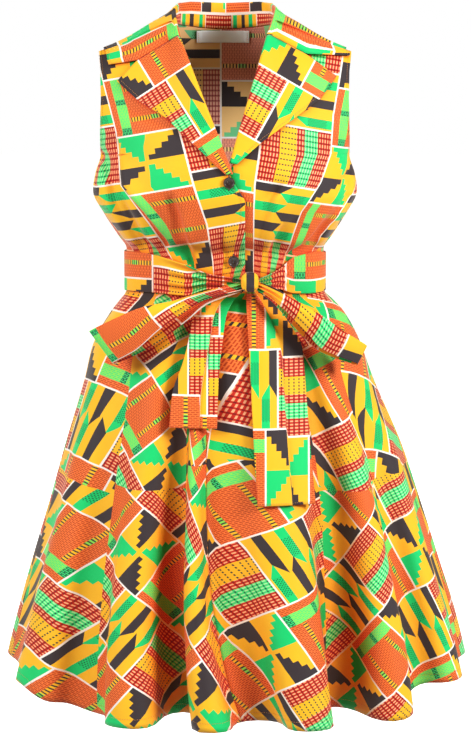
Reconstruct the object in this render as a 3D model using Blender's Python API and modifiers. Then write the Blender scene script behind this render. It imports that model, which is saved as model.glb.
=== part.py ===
# Sleeveless shirt dress in wax print cotton, worn shape with nobody in it.
# Metres, +Z up, front facing -Y. The origin is held at the shoulders: midway
# between the shoulders in X, on the shoulder seams in Y, level with their middles.
# Left and right are the wearer's: the wearer's right front is on the -X side.

import math
from collections import namedtuple

import bmesh
import bpy
from mathutils import Vector

# Driving sizes
CLOTH_WALL = 0.0016
TURNED_WALL = 0.0018
SEAM_GAP = 0.0003
SEAM_STRIP = 0.0025
ROUNDNESS = 2.2
SHARP_ANGLE = 50

SHOULDER_TOP = 0.018
SHOULDER_SLOPE = 0.367
NECK_HALF = 0.0755
NECK_RISE = 0.050
BACK_NECK_LEVEL = 0.0108
TIP_HALF = 0.1853
UNDERARM_LEVEL = -0.171
SLOPE_FULL_LEVEL = -0.040
BODICE_CENTRE = -0.0015
WAIST_LEVEL = -0.3525

BUTTON_DIAMETER = 0.016
BUTTON_THICKNESS = 0.003
BUTTON_HOLE = 0.0018
LABEL_WIDTH = 0.082
LABEL_HEIGHT = 0.018
LABEL_WALL = 0.0006
LABEL_CENTRE = -0.005
LABEL_DROP = 0.001
LABEL_CLEAR = 0.0018

# Body of the bodice at each level: half width, depth in front, depth behind.
# Above the underarm the half width is that of the body past the armhole.
Level = namedtuple("Level", "z half front back")
BODICE = [
    Level(-0.3525, 0.1465, 0.105, 0.095),
    Level(-0.3110, 0.1465, 0.105, 0.095),
    Level(-0.2920, 0.1580, 0.119, 0.101),
    Level(-0.2600, 0.1785, 0.131, 0.108),
    Level(-0.2260, 0.1950, 0.137, 0.115),
    Level(-0.2000, 0.1915, 0.136, 0.118),
    Level(-0.1710, 0.1835, 0.131, 0.119),
    Level(-0.1300, 0.1960, 0.119, 0.118),
    Level(-0.0900, 0.2020, 0.104, 0.113),
    Level(-0.0600, 0.2040, 0.091, 0.104),
    Level(-0.0300, 0.2040, 0.073, 0.087),
    Level(-0.0100, 0.2035, 0.055, 0.067),
    Level(0.0050, 0.2030, 0.036, 0.045),
    Level(0.0180, 0.2030, 0.003, 0.003),
]

# Skirt without its flutes, at each level
Ring = namedtuple("Ring", "z half centre front back")
SKIRT = [
    Ring(-0.980, 0.3660, 0.0155, 0.262, 0.262),
    Ring(-0.936, 0.3558, 0.0155, 0.256, 0.256),
    Ring(-0.873, 0.3395, 0.0155, 0.243, 0.246),
    Ring(-0.790, 0.3140, 0.0140, 0.225, 0.230),
    Ring(-0.694, 0.2833, 0.0130, 0.203, 0.212),
    Ring(-0.616, 0.2587, 0.0110, 0.186, 0.196),
    Ring(-0.510, 0.2190, 0.0043, 0.160, 0.170),
    Ring(-0.453, 0.2006, 0.0013, 0.143, 0.150),
    Ring(-0.408, 0.1755, 0.0020, 0.127, 0.126),
    Ring(-0.386, 0.1570, 0.0005, 0.113, 0.103),
    Ring(-0.375, 0.1470, -0.0015, 0.1055, 0.0955),
    Ring(-0.3525, 0.1465, -0.0015, 0.105, 0.095),
]

# Flutes round the hem: place in degrees from the front towards the wearer's left,
# how far the line leans sideways higher up, and how far it stands in or out
Flute = namedtuple("Flute", "place lean rise")
FLUTES = [
    Flute(-100, 0, 0.000),
    Flute(-79, 0, -0.025),
    Flute(-56, -1, 0.008),
    Flute(-38, -4, -0.040),
    Flute(-22, -5, 0.012),
    Flute(-12.5, -3, -0.080),
    Flute(-5, -6, 0.014),
    Flute(4, -10, -0.045),
    Flute(15, -3, 0.014),
    Flute(27, 5, -0.092),
    Flute(38, 4, 0.008),
    Flute(51, 2, -0.040),
    Flute(64, 1, 0.004),
    Flute(81, 0, -0.025),
    Flute(99, 0, 0.000),
    Flute(115, 0, -0.045),
    Flute(130, 0, 0.005),
    Flute(143, 0, -0.060),
    Flute(156, 0, 0.008),
    Flute(168, 0, -0.052),
    Flute(180, 0, 0.010),
    Flute(193, 0, -0.060),
    Flute(206, 0, 0.006),
    Flute(219, 0, -0.048),
    Flute(232, 0, 0.006),
    Flute(246, 0, -0.040),
    Flute(260, 0, 0.000),
]
OVERHANG = 1.15
OVERHANG_DEPTH = 0.080
FLUTE_GROWTH = 1.35
LEAN_FROM = 0.4

# Armhole edge and the two front edges, seen from the front
Edge = namedtuple("Edge", "z x")
ARMHOLE = [
    Edge(-0.1710, 0.1835),
    Edge(-0.1550, 0.1822),
    Edge(-0.1300, 0.1808),
    Edge(-0.0900, 0.1797),
    Edge(-0.0500, 0.1815),
    Edge(-0.0236, 0.1853),
]
RIGHT_EDGE = [
    Edge(-0.3525, 0.0280),
    Edge(-0.2320, 0.0276),
    Edge(-0.2000, 0.0076),
    Edge(-0.0040, -0.0690),
    Edge(0.0180, -0.0770),
]
LEFT_EDGE = [
    Edge(-0.3525, -0.0180),
    Edge(-0.2200, -0.0180),
    Edge(-0.1880, 0.0076),
    Edge(-0.0020, 0.0625),
    Edge(0.0180, 0.0740),
]
UNDERLAP = 0.0030
UNDERLAP_ACROSS = (0.064, 0.042)
UNDERLAP_UP = (-0.110, -0.160)
ROLL_REACH = 0.004

# Folds pressed or pulled into the bodice: a line from one place to another,
# its width and how far it stands out. They start and end softly along the line,
# and lie flat under the sash
Fold = namedtuple("Fold", "x z to_x to_z width rise")
RIGHT_FOLDS = [
    Fold(-0.165, -0.165, -0.096, -0.305, 0.014, 0.006),
    Fold(-0.188, -0.215, -0.120, -0.312, 0.011, 0.004),
    Fold(-0.060, -0.255, -0.054, -0.330, 0.010, 0.006),
    Fold(-0.022, -0.270, -0.024, -0.340, 0.009, 0.004),
    Fold(-0.100, -0.240, -0.078, -0.320, 0.010, -0.004),
]
LEFT_FOLDS = [
    Fold(0.072, -0.215, 0.036, -0.318, 0.013, 0.006),
    Fold(0.170, -0.245, 0.085, -0.315, 0.013, 0.006),
    Fold(0.120, -0.235, 0.062, -0.318, 0.010, -0.004),
    Fold(0.186, -0.205, 0.128, -0.312, 0.010, 0.004),
]
BACK_FOLDS = [
    Fold(-0.130, -0.225, -0.090, -0.330, 0.013, 0.005),
    Fold(-0.070, -0.245, -0.052, -0.335, 0.011, 0.005),
    Fold(-0.018, -0.255, -0.014, -0.335, 0.010, 0.004),
    Fold(0.034, -0.240, 0.026, -0.335, 0.011, 0.005),
    Fold(0.085, -0.250, 0.064, -0.330, 0.012, 0.004),
    Fold(0.140, -0.215, 0.104, -0.325, 0.013, 0.005),
]

FOLD_START = (-0.15, 0.45)
FOLD_END = (1.25, 0.85)
FOLD_ABOVE_WAIST = (0.034, 0.064)

# Outer edge of each lapel from the break point up to its tip, and the notch
LAPEL_EDGE_RIGHT = [
    Edge(-0.1950, -0.0010),
    Edge(-0.1700, -0.0280),
    Edge(-0.1390, -0.0610),
    Edge(-0.1175, -0.0840),
    Edge(-0.0930, -0.1245),
    Edge(-0.0663, -0.1555),
]
LAPEL_EDGE_LEFT = [
    Edge(-0.1810, 0.0160),
    Edge(-0.1500, 0.0516),
    Edge(-0.1150, 0.1017),
    Edge(-0.0900, 0.1352),
    Edge(-0.0592, 0.1584),
]
NOTCH_RIGHT = Edge(-0.0378, -0.1269)
NOTCH_LEFT = Edge(-0.0290, 0.1150)
GORGE_RIGHT = Edge(-0.0040, -0.0690)
GORGE_LEFT = Edge(-0.0020, 0.0625)
LAPEL_START_RIGHT = -0.1960
LAPEL_START_LEFT = -0.1800
GORGE_GAP = 0.0005
ROLL_GAP = 0.0005
ROLL_LEAD = 0.0010
LAPEL_RISE_ROLL = 0.0052
LAPEL_RISE_EDGE = 0.0044
LAPEL_ROW_CLEAR = 0.007

# Collar from the middle of the back round to the gorge: where it is sewn on (side
# +1 behind, -1 in front), which way it leaves the neckline, how high it stands
# and leans in, and its outer edge
Stay = namedtuple("Stay", "x z side inward up stand lean edge_x edge_level edge_side")
COLLAR = [
    Stay(0.0000, 0.0108, 1, 0.4, 0.9, 0.0380, 0.0030, 0.000, -0.058, 1),
    Stay(0.0280, 0.0118, 1, 0.4, 0.9, 0.0380, 0.0030, 0.056, -0.057, 1),
    Stay(0.0530, 0.0143, 1, 0.6, 0.8, 0.0360, 0.0025, 0.106, -0.048, 1),
    Stay(0.0700, 0.0170, 1, 0.9, 0.4, 0.0310, 0.0015, 0.144, -0.027, 1),
    Stay(0.0755, 0.0180, 1, 1.0, 0.0, 0.0240, 0.0010, 0.167, -0.004, 1),
    Stay(0.0752, 0.0165, -1, 1.0, 0.0, 0.0210, 0.0010, 0.1765, 0.018, -1),
    Stay(0.0735, 0.0110, -1, 1.0, -0.2, 0.0150, 0.0010, 0.1750, 0.0135, -1),
]
STAND_WIDTH = 0.0052
STAND_WIDTH_SHARE = 0.6
STAND_PLACES = (0.35, 0.7)
CREST_DROP = 0.5
FALL_SETTLES = (0.25, 1.0)
NECK_MIDDLE = 0.020
NECK_GAP = 0.0009
Corner = namedtuple("Corner", "x z")
COLLAR_TIP_RIGHT = Corner(-0.1680, -0.0436)
COLLAR_TIP_LEFT = Corner(0.1790, -0.0307)

# Sash round the waist: place in degrees, upper and lower edge, distance off the body
Band = namedtuple("Band", "place top bottom out")
SASH = [
    Band(14.5, -0.3470, -0.3600, 0.0158),
    Band(28, -0.3340, -0.3620, 0.0070),
    Band(40, -0.3170, -0.3700, 0.0045),
    Band(60, -0.3120, -0.3725, 0.0038),
    Band(90, -0.3170, -0.3728, 0.0036),
    Band(180, -0.3180, -0.3740, 0.0036),
    Band(270, -0.3150, -0.3728, 0.0036),
    Band(300, -0.3120, -0.3700, 0.0038),
    Band(318, -0.3140, -0.3690, 0.0040),
    Band(340, -0.3260, -0.3710, 0.0050),
    Band(354, -0.3400, -0.3602, 0.0080),
    Band(362, -0.3440, -0.3601, 0.0110),
    Band(370, -0.3490, -0.3600, 0.0148),
]
SASH_CREASES = 3
CREASE_DEPTH = 0.0022
GATHER_FROM = 0.75
KNOT = Vector((0.0345, -0.1300, -0.3490))
KNOT_SIZE = Vector((0.0276, 0.0230, 0.0310))
LOOP_CROWN = 0.004

# Bow loops, out along the front leaf and back along the hidden one: upper and
# lower corner of the strip at each station, and how far forward it is
Strip = namedtuple("Strip", "top_x top_z low_x low_z y")
LOOP_RIGHT = [
    Strip(0.0220, -0.3495, 0.0255, -0.3590, -0.1310),
    Strip(-0.0340, -0.3630, -0.0320, -0.3730, -0.1420),
    Strip(-0.0760, -0.3735, -0.0610, -0.3910, -0.1510),
    Strip(-0.1170, -0.3815, -0.0940, -0.4140, -0.1550),
    Strip(-0.1570, -0.3980, -0.1280, -0.4440, -0.1530),
    Strip(-0.1950, -0.4180, -0.1620, -0.4640, -0.1440),
    Strip(-0.1940, -0.4210, -0.1600, -0.4670, -0.1300),
    Strip(-0.1540, -0.4130, -0.1330, -0.4550, -0.1360),
    Strip(-0.1140, -0.3990, -0.0940, -0.4330, -0.1390),
    Strip(-0.0720, -0.3840, -0.0540, -0.4020, -0.1390),
    Strip(-0.0310, -0.3690, -0.0270, -0.3800, -0.1330),
    Strip(0.0200, -0.3540, 0.0230, -0.3620, -0.1265),
]
LOOP_LEFT = [
    Strip(0.0470, -0.3495, 0.0435, -0.3590, -0.1310),
    Strip(0.0700, -0.3570, 0.0660, -0.3715, -0.1400),
    Strip(0.0915, -0.3680, 0.0820, -0.3850, -0.1510),
    Strip(0.1380, -0.3945, 0.1145, -0.4175, -0.1550),
    Strip(0.1660, -0.4150, 0.1370, -0.4420, -0.1530),
    Strip(0.2020, -0.4390, 0.1890, -0.4650, -0.1440),
    Strip(0.2000, -0.4440, 0.1880, -0.4685, -0.1300),
    Strip(0.1620, -0.4230, 0.1370, -0.4490, -0.1360),
    Strip(0.1320, -0.4040, 0.1090, -0.4250, -0.1390),
    Strip(0.0920, -0.3790, 0.0820, -0.3935, -0.1390),
    Strip(0.0690, -0.3655, 0.0660, -0.3755, -0.1330),
    Strip(0.0490, -0.3540, 0.0460, -0.3620, -0.1265),
]

# Hanging ends of the sash: left and right edge at each level, and how far they
# hang in front of the skirt
Hang = namedtuple("Hang", "z left right out")
TAIL_RIGHT = [
    Hang(-0.5530, -0.0807, -0.0123, 0.007),
    Hang(-0.5070, -0.0765, -0.0109, 0.007),
    Hang(-0.4610, -0.0610, -0.0081, 0.008),
    Hang(-0.4400, -0.0553, -0.0053, 0.009),
    Hang(-0.4000, -0.0468, 0.0004, 0.010),
    Hang(-0.3800, -0.0354, 0.0090, 0.013),
    Hang(-0.3620, -0.0060, 0.0270, 0.0145),
]
TAIL_LEFT = [
    Hang(-0.6600, 0.0453, 0.1284, 0.007),
    Hang(-0.5835, 0.0403, 0.1214, 0.007),
    Hang(-0.5140, 0.0368, 0.1159, 0.007),
    Hang(-0.4460, 0.0333, 0.1104, 0.008),
    Hang(-0.4100, 0.0312, 0.0920, 0.010),
    Hang(-0.3800, 0.0297, 0.0680, 0.014),
    Hang(-0.3618, 0.0300, 0.0450, 0.0175),
]
TAIL_FOLD = 0.0045
FLUTE_ENVELOPE = 0.014

# Finishes, with the cloth's colour as it looks from a distance
CLOTH_COLOUR = (0.85, 0.42, 0.06, 1.0)
CLOTH_ROUGHNESS = 0.8
BUTTON_COLOUR = (0.02, 0.012, 0.01, 1.0)
BUTTON_ROUGHNESS = 0.25
LABEL_COLOUR = (0.9, 0.9, 0.88, 1.0)
LABEL_ROUGHNESS = 0.6


def clear_scene():
    for item in list(bpy.data.objects):
        bpy.data.objects.remove(item, do_unlink=True)


def smooth_step(low, high, value):
    share = min(1.0, max(0.0, (value - low) / (high - low)))
    return share * share * (3 - 2 * share)


def tangent_of(keys, values, index):
    # Slope of the smooth curve at one row, level where the values turn back
    before = (values[index] - values[index - 1]) / (keys[index] - keys[index - 1])
    after = (values[index + 1] - values[index]) / (keys[index + 1] - keys[index])
    if before * after <= 0:
        return 0.0
    return 2 * before * after / (before + after)


def read_table(rows, column, key):
    # Smooth curve through one named column, by the table's first column
    keys = [row[0] for row in rows]
    values = [getattr(row, column) for row in rows]
    if key <= keys[0]:
        return values[0]
    if key >= keys[-1]:
        return values[-1]
    index = max(i for i in range(len(keys) - 1) if keys[i] <= key)
    width = keys[index + 1] - keys[index]
    rise = values[index + 1] - values[index]
    start = rise / width if index == 0 else tangent_of(keys, values, index)
    end = rise / width if index == len(keys) - 2 else tangent_of(keys, values, index + 1)
    share = (key - keys[index]) / width
    square, cube = share * share, share ** 3
    return (values[index] * (2 * cube - 3 * square + 1)
            + values[index + 1] * (3 * square - 2 * cube)
            + start * width * (cube - 2 * square + share)
            + end * width * (cube - square))


def read_edge(rows, key):
    # Straight lines through an edge's points
    for low, high in zip(rows, rows[1:]):
        if key <= high.z or high is rows[-1]:
            share = (key - low.z) / (high.z - low.z)
            return low.x + (high.x - low.x) * max(0.0, min(1.0, share))
    return rows[-1].x


def steps(count, start=0.0, end=1.0):
    return [start + (end - start) * index / count for index in range(count + 1)]


# Body under the bodice

def crest(x):
    # Height of the shoulder seam, which the neck continues upwards
    across = abs(x - BODICE_CENTRE)
    if across >= NECK_HALF:
        return SHOULDER_TOP - (across - NECK_HALF) * SHOULDER_SLOPE
    return SHOULDER_TOP + NECK_RISE * (1 - (across / NECK_HALF) ** 2)


def level_of(x, z):
    # Level in the table for a place, counted from the sloping shoulder near the top
    share = smooth_step(UNDERARM_LEVEL, SLOPE_FULL_LEVEL, z)
    return z + (SHOULDER_TOP - crest(x)) * share


LOWEST = -0.40
HIGHEST = 0.08


def height_at(x, level):
    # Height of a level of the table over a place across the body
    low, high = LOWEST, HIGHEST
    for _ in range(30):
        middle = (low + high) / 2
        if level_of(x, middle) < level:
            low = middle
        else:
            high = middle
    return low


def power(value, exponent):
    return math.copysign(abs(value) ** exponent, value)


def ring_point(angle, half, depth, centre):
    # Place on a rounded ring at an angle from the front, level nought
    return Vector((centre + half * power(math.sin(angle), 2 / ROUNDNESS),
                   -depth * power(math.cos(angle), 2 / ROUNDNESS), 0.0))


def bodice_at(angle, z, side):
    # Place on the body at an angle from its middle line; side -1 front, +1 back
    column = "front" if side < 0 else "back"
    x = BODICE_CENTRE
    for _ in range(4):
        half = read_table(BODICE, "half", level_of(x, z))
        x = BODICE_CENTRE + half * power(math.sin(angle), 2 / ROUNDNESS)
    depth = read_table(BODICE, column, level_of(x, z))
    return Vector((x, side * depth * power(math.cos(angle), 2 / ROUNDNESS), z))


def angle_of(x, z):
    half = read_table(BODICE, "half", level_of(x, z))
    across = max(-1.0, min(1.0, (x - BODICE_CENTRE) / half))
    return math.asin(power(across, ROUNDNESS / 2))


def bodice_normal(angle, z, side):
    step = 0.004
    across = bodice_at(angle + step, z, side) - bodice_at(angle - step, z, side)
    upward = bodice_at(angle, z + step, side) - bodice_at(angle, z - step, side)
    normal = across.cross(upward).normalized()
    outward = Vector((math.sin(angle), side * math.cos(angle), 0))
    return normal if normal.dot(outward) >= 0 else -normal


def on_bodice(x, z, side, rise):
    # Place on the body at x and z, moved out by rise
    angle = angle_of(x, z)
    return bodice_at(angle, z, side) + bodice_normal(angle, z, side) * rise


def fold_rise(folds, x, z):
    # Sum of soft ridges along the listed lines, fading to their ends
    total = 0.0
    for fold in folds:
        run = Vector((fold.to_x - fold.x, fold.to_z - fold.z))
        off = Vector((x - fold.x, z - fold.z))
        along = off.dot(run) / run.length_squared
        away = abs(off.cross(run)) / run.length if run.length else 0.0
        fade = smooth_step(*FOLD_START, along) * smooth_step(*FOLD_END, along)
        total += fold.rise * fade * math.exp(-(away / fold.width) ** 2)
    return total * smooth_step(*FOLD_ABOVE_WAIST, z - WAIST_LEVEL)


# Meshes and nodes

def finish(name, colour, roughness):
    material = bpy.data.materials.new(name)
    material.use_nodes = True
    shader = material.node_tree.nodes["Principled BSDF"]
    shader.inputs["Base Color"].default_value = colour
    shader.inputs["Roughness"].default_value = roughness
    shader.inputs["Metallic"].default_value = 0.0
    return material


def add_node(name, mesh, material, collection):
    mesh.materials.append(material)
    node = bpy.data.objects.new(name, mesh)
    collection.objects.link(node)
    mesh.shade_smooth()
    mesh.set_sharp_from_angle(angle=math.radians(SHARP_ANGLE))
    return node


def add_shell(name, rows, wall, material, collection, faces_back=False):
    # Open sheet through rows of points, thickened on its hidden side
    sheet = bmesh.new()
    grid = [[sheet.verts.new(point) for point in row] for row in rows]
    for low, high in zip(grid, grid[1:]):
        for index in range(len(low) - 1):
            corners = [low[index], low[index + 1], high[index + 1], high[index]]
            sheet.faces.new(reversed(corners) if faces_back else corners)
    mesh = bpy.data.meshes.new(name)
    sheet.to_mesh(mesh)
    sheet.free()
    node = add_node(name, mesh, material, collection)
    wall_modifier = node.modifiers.new("wall", "SOLIDIFY")
    wall_modifier.thickness = wall
    wall_modifier.offset = -1
    return node


def seam_point(here, across):
    # Edge point at a seam: the middle of a flat strip, less half a gap
    return (here + across) / 2 + (here - across).normalized() * SEAM_GAP / 2


# Bodice

LOWER_LEVELS = [-0.340, -0.326, -0.311, -0.298, -0.282, -0.262, -0.242, -0.222, -0.2005, -0.186, -0.171]
ARMHOLE_LEVELS = [-0.150, -0.125, -0.098, -0.070, -0.048, -0.035, -0.0275]
FRONT_COLUMNS = 10
BACK_SIDE_COLUMNS = 6
BACK_NECK_COLUMNS = 10


def bodice_levels():
    # Levels at the side of a panel, and how far each one rises towards the neck
    rows = [(WAIST_LEVEL + SEAM_GAP / 2, 0.0)] + [(z, 0.0) for z in LOWER_LEVELS]
    for z in ARMHOLE_LEVELS:
        rows.append((z, ((z - UNDERARM_LEVEL) / (tip_level() - UNDERARM_LEVEL)) ** 2))
    rows.append((tip_level(), 1.0))
    return rows


def tip_level():
    return crest(BODICE_CENTRE + TIP_HALF)


def edge_angle(z, side, inward):
    # Angle of a panel's side edge, or of a line a little inside it
    if z > UNDERARM_LEVEL:
        x = BODICE_CENTRE + read_edge(ARMHOLE, z) - inward
        return angle_of(x, z)
    depth = read_table(BODICE, "front" if side < 0 else "back", z)
    return math.acos((inward / depth) ** (ROUNDNESS / 2))


def side_points(z, side, hand):
    # Edge and first inner point of a panel at its side; hand -1 is the wearer's right
    inner = bodice_at(hand * edge_angle(z, side, SEAM_STRIP), z, side)
    if z > UNDERARM_LEVEL:
        return bodice_at(hand * edge_angle(z, side, 0.0), z, side), inner
    other = bodice_at(hand * edge_angle(z, -side, SEAM_STRIP), z, -side)
    return seam_point(inner, other), inner


def front_rise(x, z, hand):
    # Folds of a front, and the step down where the left front goes under the right
    if hand < 0:
        return fold_rise(RIGHT_FOLDS, x, z)
    under = smooth_step(*UNDERLAP_ACROSS, x) * smooth_step(*UNDERLAP_UP, z)
    return fold_rise(LEFT_FOLDS, x, z) * (1 - under) - UNDERLAP * under


def front_point(x, z, hand, rise=0.0):
    return on_bodice(x, z, -1, rise + front_rise(x, z, hand))


def rising_point(angle, z_side, rise_share, side, top):
    # Place at an angle on a row that climbs from the armhole to the upper edge
    z = z_side
    for _ in range(8):
        x = bodice_at(angle, z, side).x
        z = z_side + (top(x) - tip_level()) * rise_share
    return x, z


def end_level(edge, z_side, rise_share):
    # Height at which a row of a front meets its front edge or roll line
    z_end = z_side
    for _ in range(20):
        z_end = z_side + (crest(read_edge(edge, z_end)) - tip_level()) * rise_share
    return min(z_end, SHOULDER_TOP)


def front_rows(hand):
    edge = RIGHT_EDGE if hand < 0 else LEFT_EDGE
    rows = []
    for z_side, rise_share in bodice_levels():
        z_end = end_level(edge, z_side, rise_share)
        start = hand * edge_angle(z_side, -1, SEAM_STRIP)
        end = angle_of(read_edge(edge, z_end), z_end)
        row = list(side_points(z_side, -1, hand))
        for angle in steps(FRONT_COLUMNS, start, end)[1:]:
            x, z = rising_point(angle, z_side, rise_share, -1, crest)
            row.append(front_point(x, z, hand))
        rows.append(row)
    return add_shoulder_strip(rows, -1)


def back_top(x):
    # Upper edge of the back: the shoulder seams and the neckline between them
    across = abs(x - BODICE_CENTRE) / NECK_HALF
    if across >= 1:
        return crest(x)
    return BACK_NECK_LEVEL + (SHOULDER_TOP - BACK_NECK_LEVEL) * across ** 2


def back_shares():
    # Places of the back's columns, with one exactly at each neck point
    neck = angle_of(BODICE_CENTRE + NECK_HALF, SHOULDER_TOP) / edge_angle(tip_level(), 1, SEAM_STRIP)
    shares = steps(BACK_SIDE_COLUMNS, -1.0, -neck)
    shares += steps(BACK_NECK_COLUMNS, -neck, neck)[1:]
    return shares + steps(BACK_SIDE_COLUMNS, neck, 1.0)[1:]


def back_rows():
    rows = []
    for z_side, rise_share in bodice_levels():
        reach = edge_angle(z_side, 1, SEAM_STRIP)
        row = list(side_points(z_side, 1, -1))
        for share in back_shares()[1:-1]:
            x, z = rising_point(reach * share, z_side, rise_share, 1, back_top)
            row.append(on_bodice(x, z, 1, fold_rise(BACK_FOLDS, x, z)))
        row += reversed(side_points(z_side, 1, 1))
        rows.append(row)
    return add_shoulder_strip(rows, 1)


def add_shoulder_strip(rows, side):
    # Last row: level with the one below it, up to the shoulder seam. Across the
    # back neck the row below drops instead, so that the strip is part of the panel
    top = rows[-1]
    strip = []
    for point in top:
        across = abs(point.x - BODICE_CENTRE)
        if side > 0 and across < NECK_HALF - SEAM_STRIP:
            strip.append(point.copy())
            lower = on_bodice(point.x, point.z - SEAM_STRIP, side, 0.0)
            shorter = SEAM_STRIP ** 2 / (lower - point).length
            point.xyz = on_bodice(point.x, point.z - shorter, side, 0.0)
            continue
        strip.append(Vector((point.x, side * SEAM_GAP / 2, point.z)))
    return rows + [strip]


def make_bodice(material, collection):
    add_shell("bodice_back", back_rows(), CLOTH_WALL, material, collection, faces_back=True)
    add_shell("bodice_front_right", front_rows(-1), CLOTH_WALL, material, collection)
    add_shell("bodice_front_left", front_rows(1), CLOTH_WALL, material, collection, faces_back=True)


# Lapels: the facings turned out at the roll line, lying on the fronts

TURN_STEPS = 4


def roll_direction(edge, z):
    # Unit step in X and Z out of the panel, across its roll line
    below, above = read_edge(edge, z - ROLL_REACH), read_edge(edge, z + ROLL_REACH)
    along = Vector((above - below, 2 * ROLL_REACH)).normalized()
    return Vector((along.y, -along.x)) if edge is RIGHT_EDGE else Vector((-along.y, along.x))


def lapel_rows(hand):
    edge, outer = (RIGHT_EDGE, LAPEL_EDGE_RIGHT) if hand < 0 else (LEFT_EDGE, LAPEL_EDGE_LEFT)
    gorge, notch = (GORGE_RIGHT, NOTCH_RIGHT) if hand < 0 else (GORGE_LEFT, NOTCH_LEFT)
    start_z = LAPEL_START_RIGHT if hand < 0 else LAPEL_START_LEFT
    levels = [end_level(edge, z, rise) for z, rise in bodice_levels()]
    levels = [z for z in levels if start_z + LAPEL_ROW_CLEAR < z < gorge.z - LAPEL_ROW_CLEAR]
    rows = []
    for z_roll in [start_z] + levels + [gorge.z]:
        share = (z_roll - start_z) / (gorge.z - start_z)
        roll = Vector((read_edge(edge, z_roll), z_roll))
        z_out = outer[0].z + (outer[-1].z - outer[0].z) * share
        tip = Vector((read_edge(outer, z_out), z_out))
        rows.append(turned_row(roll, tip, roll_direction(edge, z_roll), hand,
                               lambda v: gorge_bend(v, gorge, notch, tip) * share ** 3))
    for place in rows[-1]:
        place.z -= GORGE_GAP
    return rows


def gorge_bend(v, gorge, notch, tip):
    # How far the lapel's upper edge leaves the straight line: up to the notch
    first, corner = Vector((gorge.x, gorge.z)), Vector((notch.x, notch.z))
    to_notch, to_tip = (corner - first).length, (tip - corner).length
    split = to_notch / (to_notch + to_tip)
    straight = first.lerp(tip, v)
    if v < split:
        return first.lerp(corner, v / split) - straight
    return corner.lerp(tip, (v - split) / (1 - split)) - straight


def turned_row(roll, tip, outward, hand, bend):
    # One row from the panel's roll edge, round the turn and out over the panel
    middle = (LAPEL_RISE_ROLL - CLOTH_WALL) / 2
    radius = (LAPEL_RISE_ROLL + CLOTH_WALL) / 2
    lead = roll + outward * ROLL_GAP
    row = [front_point(lead.x, lead.y, hand, -CLOTH_WALL)]
    for turn in steps(TURN_STEPS, -math.pi / 2, math.pi / 2):
        flat = roll + outward * (ROLL_GAP + ROLL_LEAD + radius * math.cos(turn))
        row.append(front_point(flat.x, flat.y, hand, middle + radius * math.sin(turn)))
    for v in steps(FALL_COLUMNS)[1:]:
        flat = roll.lerp(tip, v) + bend(v)
        row.append(front_point(flat.x, flat.y, hand, lapel_rise(v)))
    return row


def lapel_rise(v):
    return LAPEL_RISE_ROLL + (LAPEL_RISE_EDGE - LAPEL_RISE_ROLL) * v


def make_lapels(material, collection):
    add_shell("lapel_right", lapel_rows(-1), TURNED_WALL, material, collection, faces_back=True)
    add_shell("lapel_left", lapel_rows(1), TURNED_WALL, material, collection)


# Collar

COLLAR_STATIONS = 18
GORGE_STEPS = 4
FALL_COLUMNS = 7


def neck_inward(point):
    # Level direction from the neckline into the neck
    return Vector((BODICE_CENTRE - point.x, NECK_MIDDLE - point.y, 0)).normalized()


def neck_point(stay, hand):
    # Where the collar is sewn on: its inner face meets the neckline's inner face
    x = BODICE_CENTRE + hand * stay.x
    if stay.side < 0:
        x = read_edge(RIGHT_EDGE if hand < 0 else LEFT_EDGE, stay.z)
    point = on_bodice(x, stay.z, stay.side, 0.0)
    inward = neck_inward(point)
    return point + inward * (TURNED_WALL + stay.inward * NECK_GAP) + Vector((0, 0, stay.up * NECK_GAP))


def signed_root(level, side):
    # Distance over the shoulder, nought at its crest, below nought in front
    return side * math.sqrt(max(0.0, SHOULDER_TOP - level))


def on_chart(x, root, rise):
    side = 1 if root >= 0 else -1
    return on_bodice(x, height_at(x, SHOULDER_TOP - root * root), side, rise)


def collar_row(share, hand):
    # Up the stand, over the fold and down the fall, at one place round the neck
    keys = steps(len(COLLAR) - 1)
    stay = Stay(*[mix_column(keys, [row[index] for row in COLLAR], share)
                  for index in range(len(Stay._fields))])
    seam_side = 1 if share <= keys[-3] else -1
    seam = neck_point(stay._replace(side=seam_side), hand)
    outward = -neck_inward(seam)
    fold = seam - outward * stay.lean + Vector((0, 0, stay.stand))
    width = min(STAND_WIDTH, stay.stand * STAND_WIDTH_SHARE)
    drop = Vector((0, 0, width * CREST_DROP))
    start = fold + outward * width - drop
    edge_root = mix_column(keys, [signed_root(row.edge_level, row.edge_side) for row in COLLAR], share)
    seam_root = mix_column(keys, [signed_root(row_level(row), row.side) for row in COLLAR], share)
    edge_x = BODICE_CENTRE + hand * stay.edge_x
    edge = on_chart(edge_x, edge_root, LAPEL_RISE_EDGE)
    row = [seam] + [seam.lerp(fold, part) for part in STAND_PLACES]
    row += [fold - drop, fold + outward * width / 2, start]
    for v in steps(FALL_COLUMNS)[1:]:
        x = seam.x + (edge_x - seam.x) * v
        on_body = on_chart(x, seam_root + (edge_root - seam_root) * v, lapel_rise(v))
        row.append(start.lerp(edge, v).lerp(on_body, smooth_step(*FALL_SETTLES, v)))
    return row


def row_level(stay):
    return level_of(BODICE_CENTRE + stay.x, stay.z)


def mix_column(keys, values, share):
    index = min(len(keys) - 2, int(share * (len(keys) - 1)))
    part = (share - keys[index]) / (keys[index + 1] - keys[index])
    return values[index] + (values[index + 1] - values[index]) * part


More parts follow.
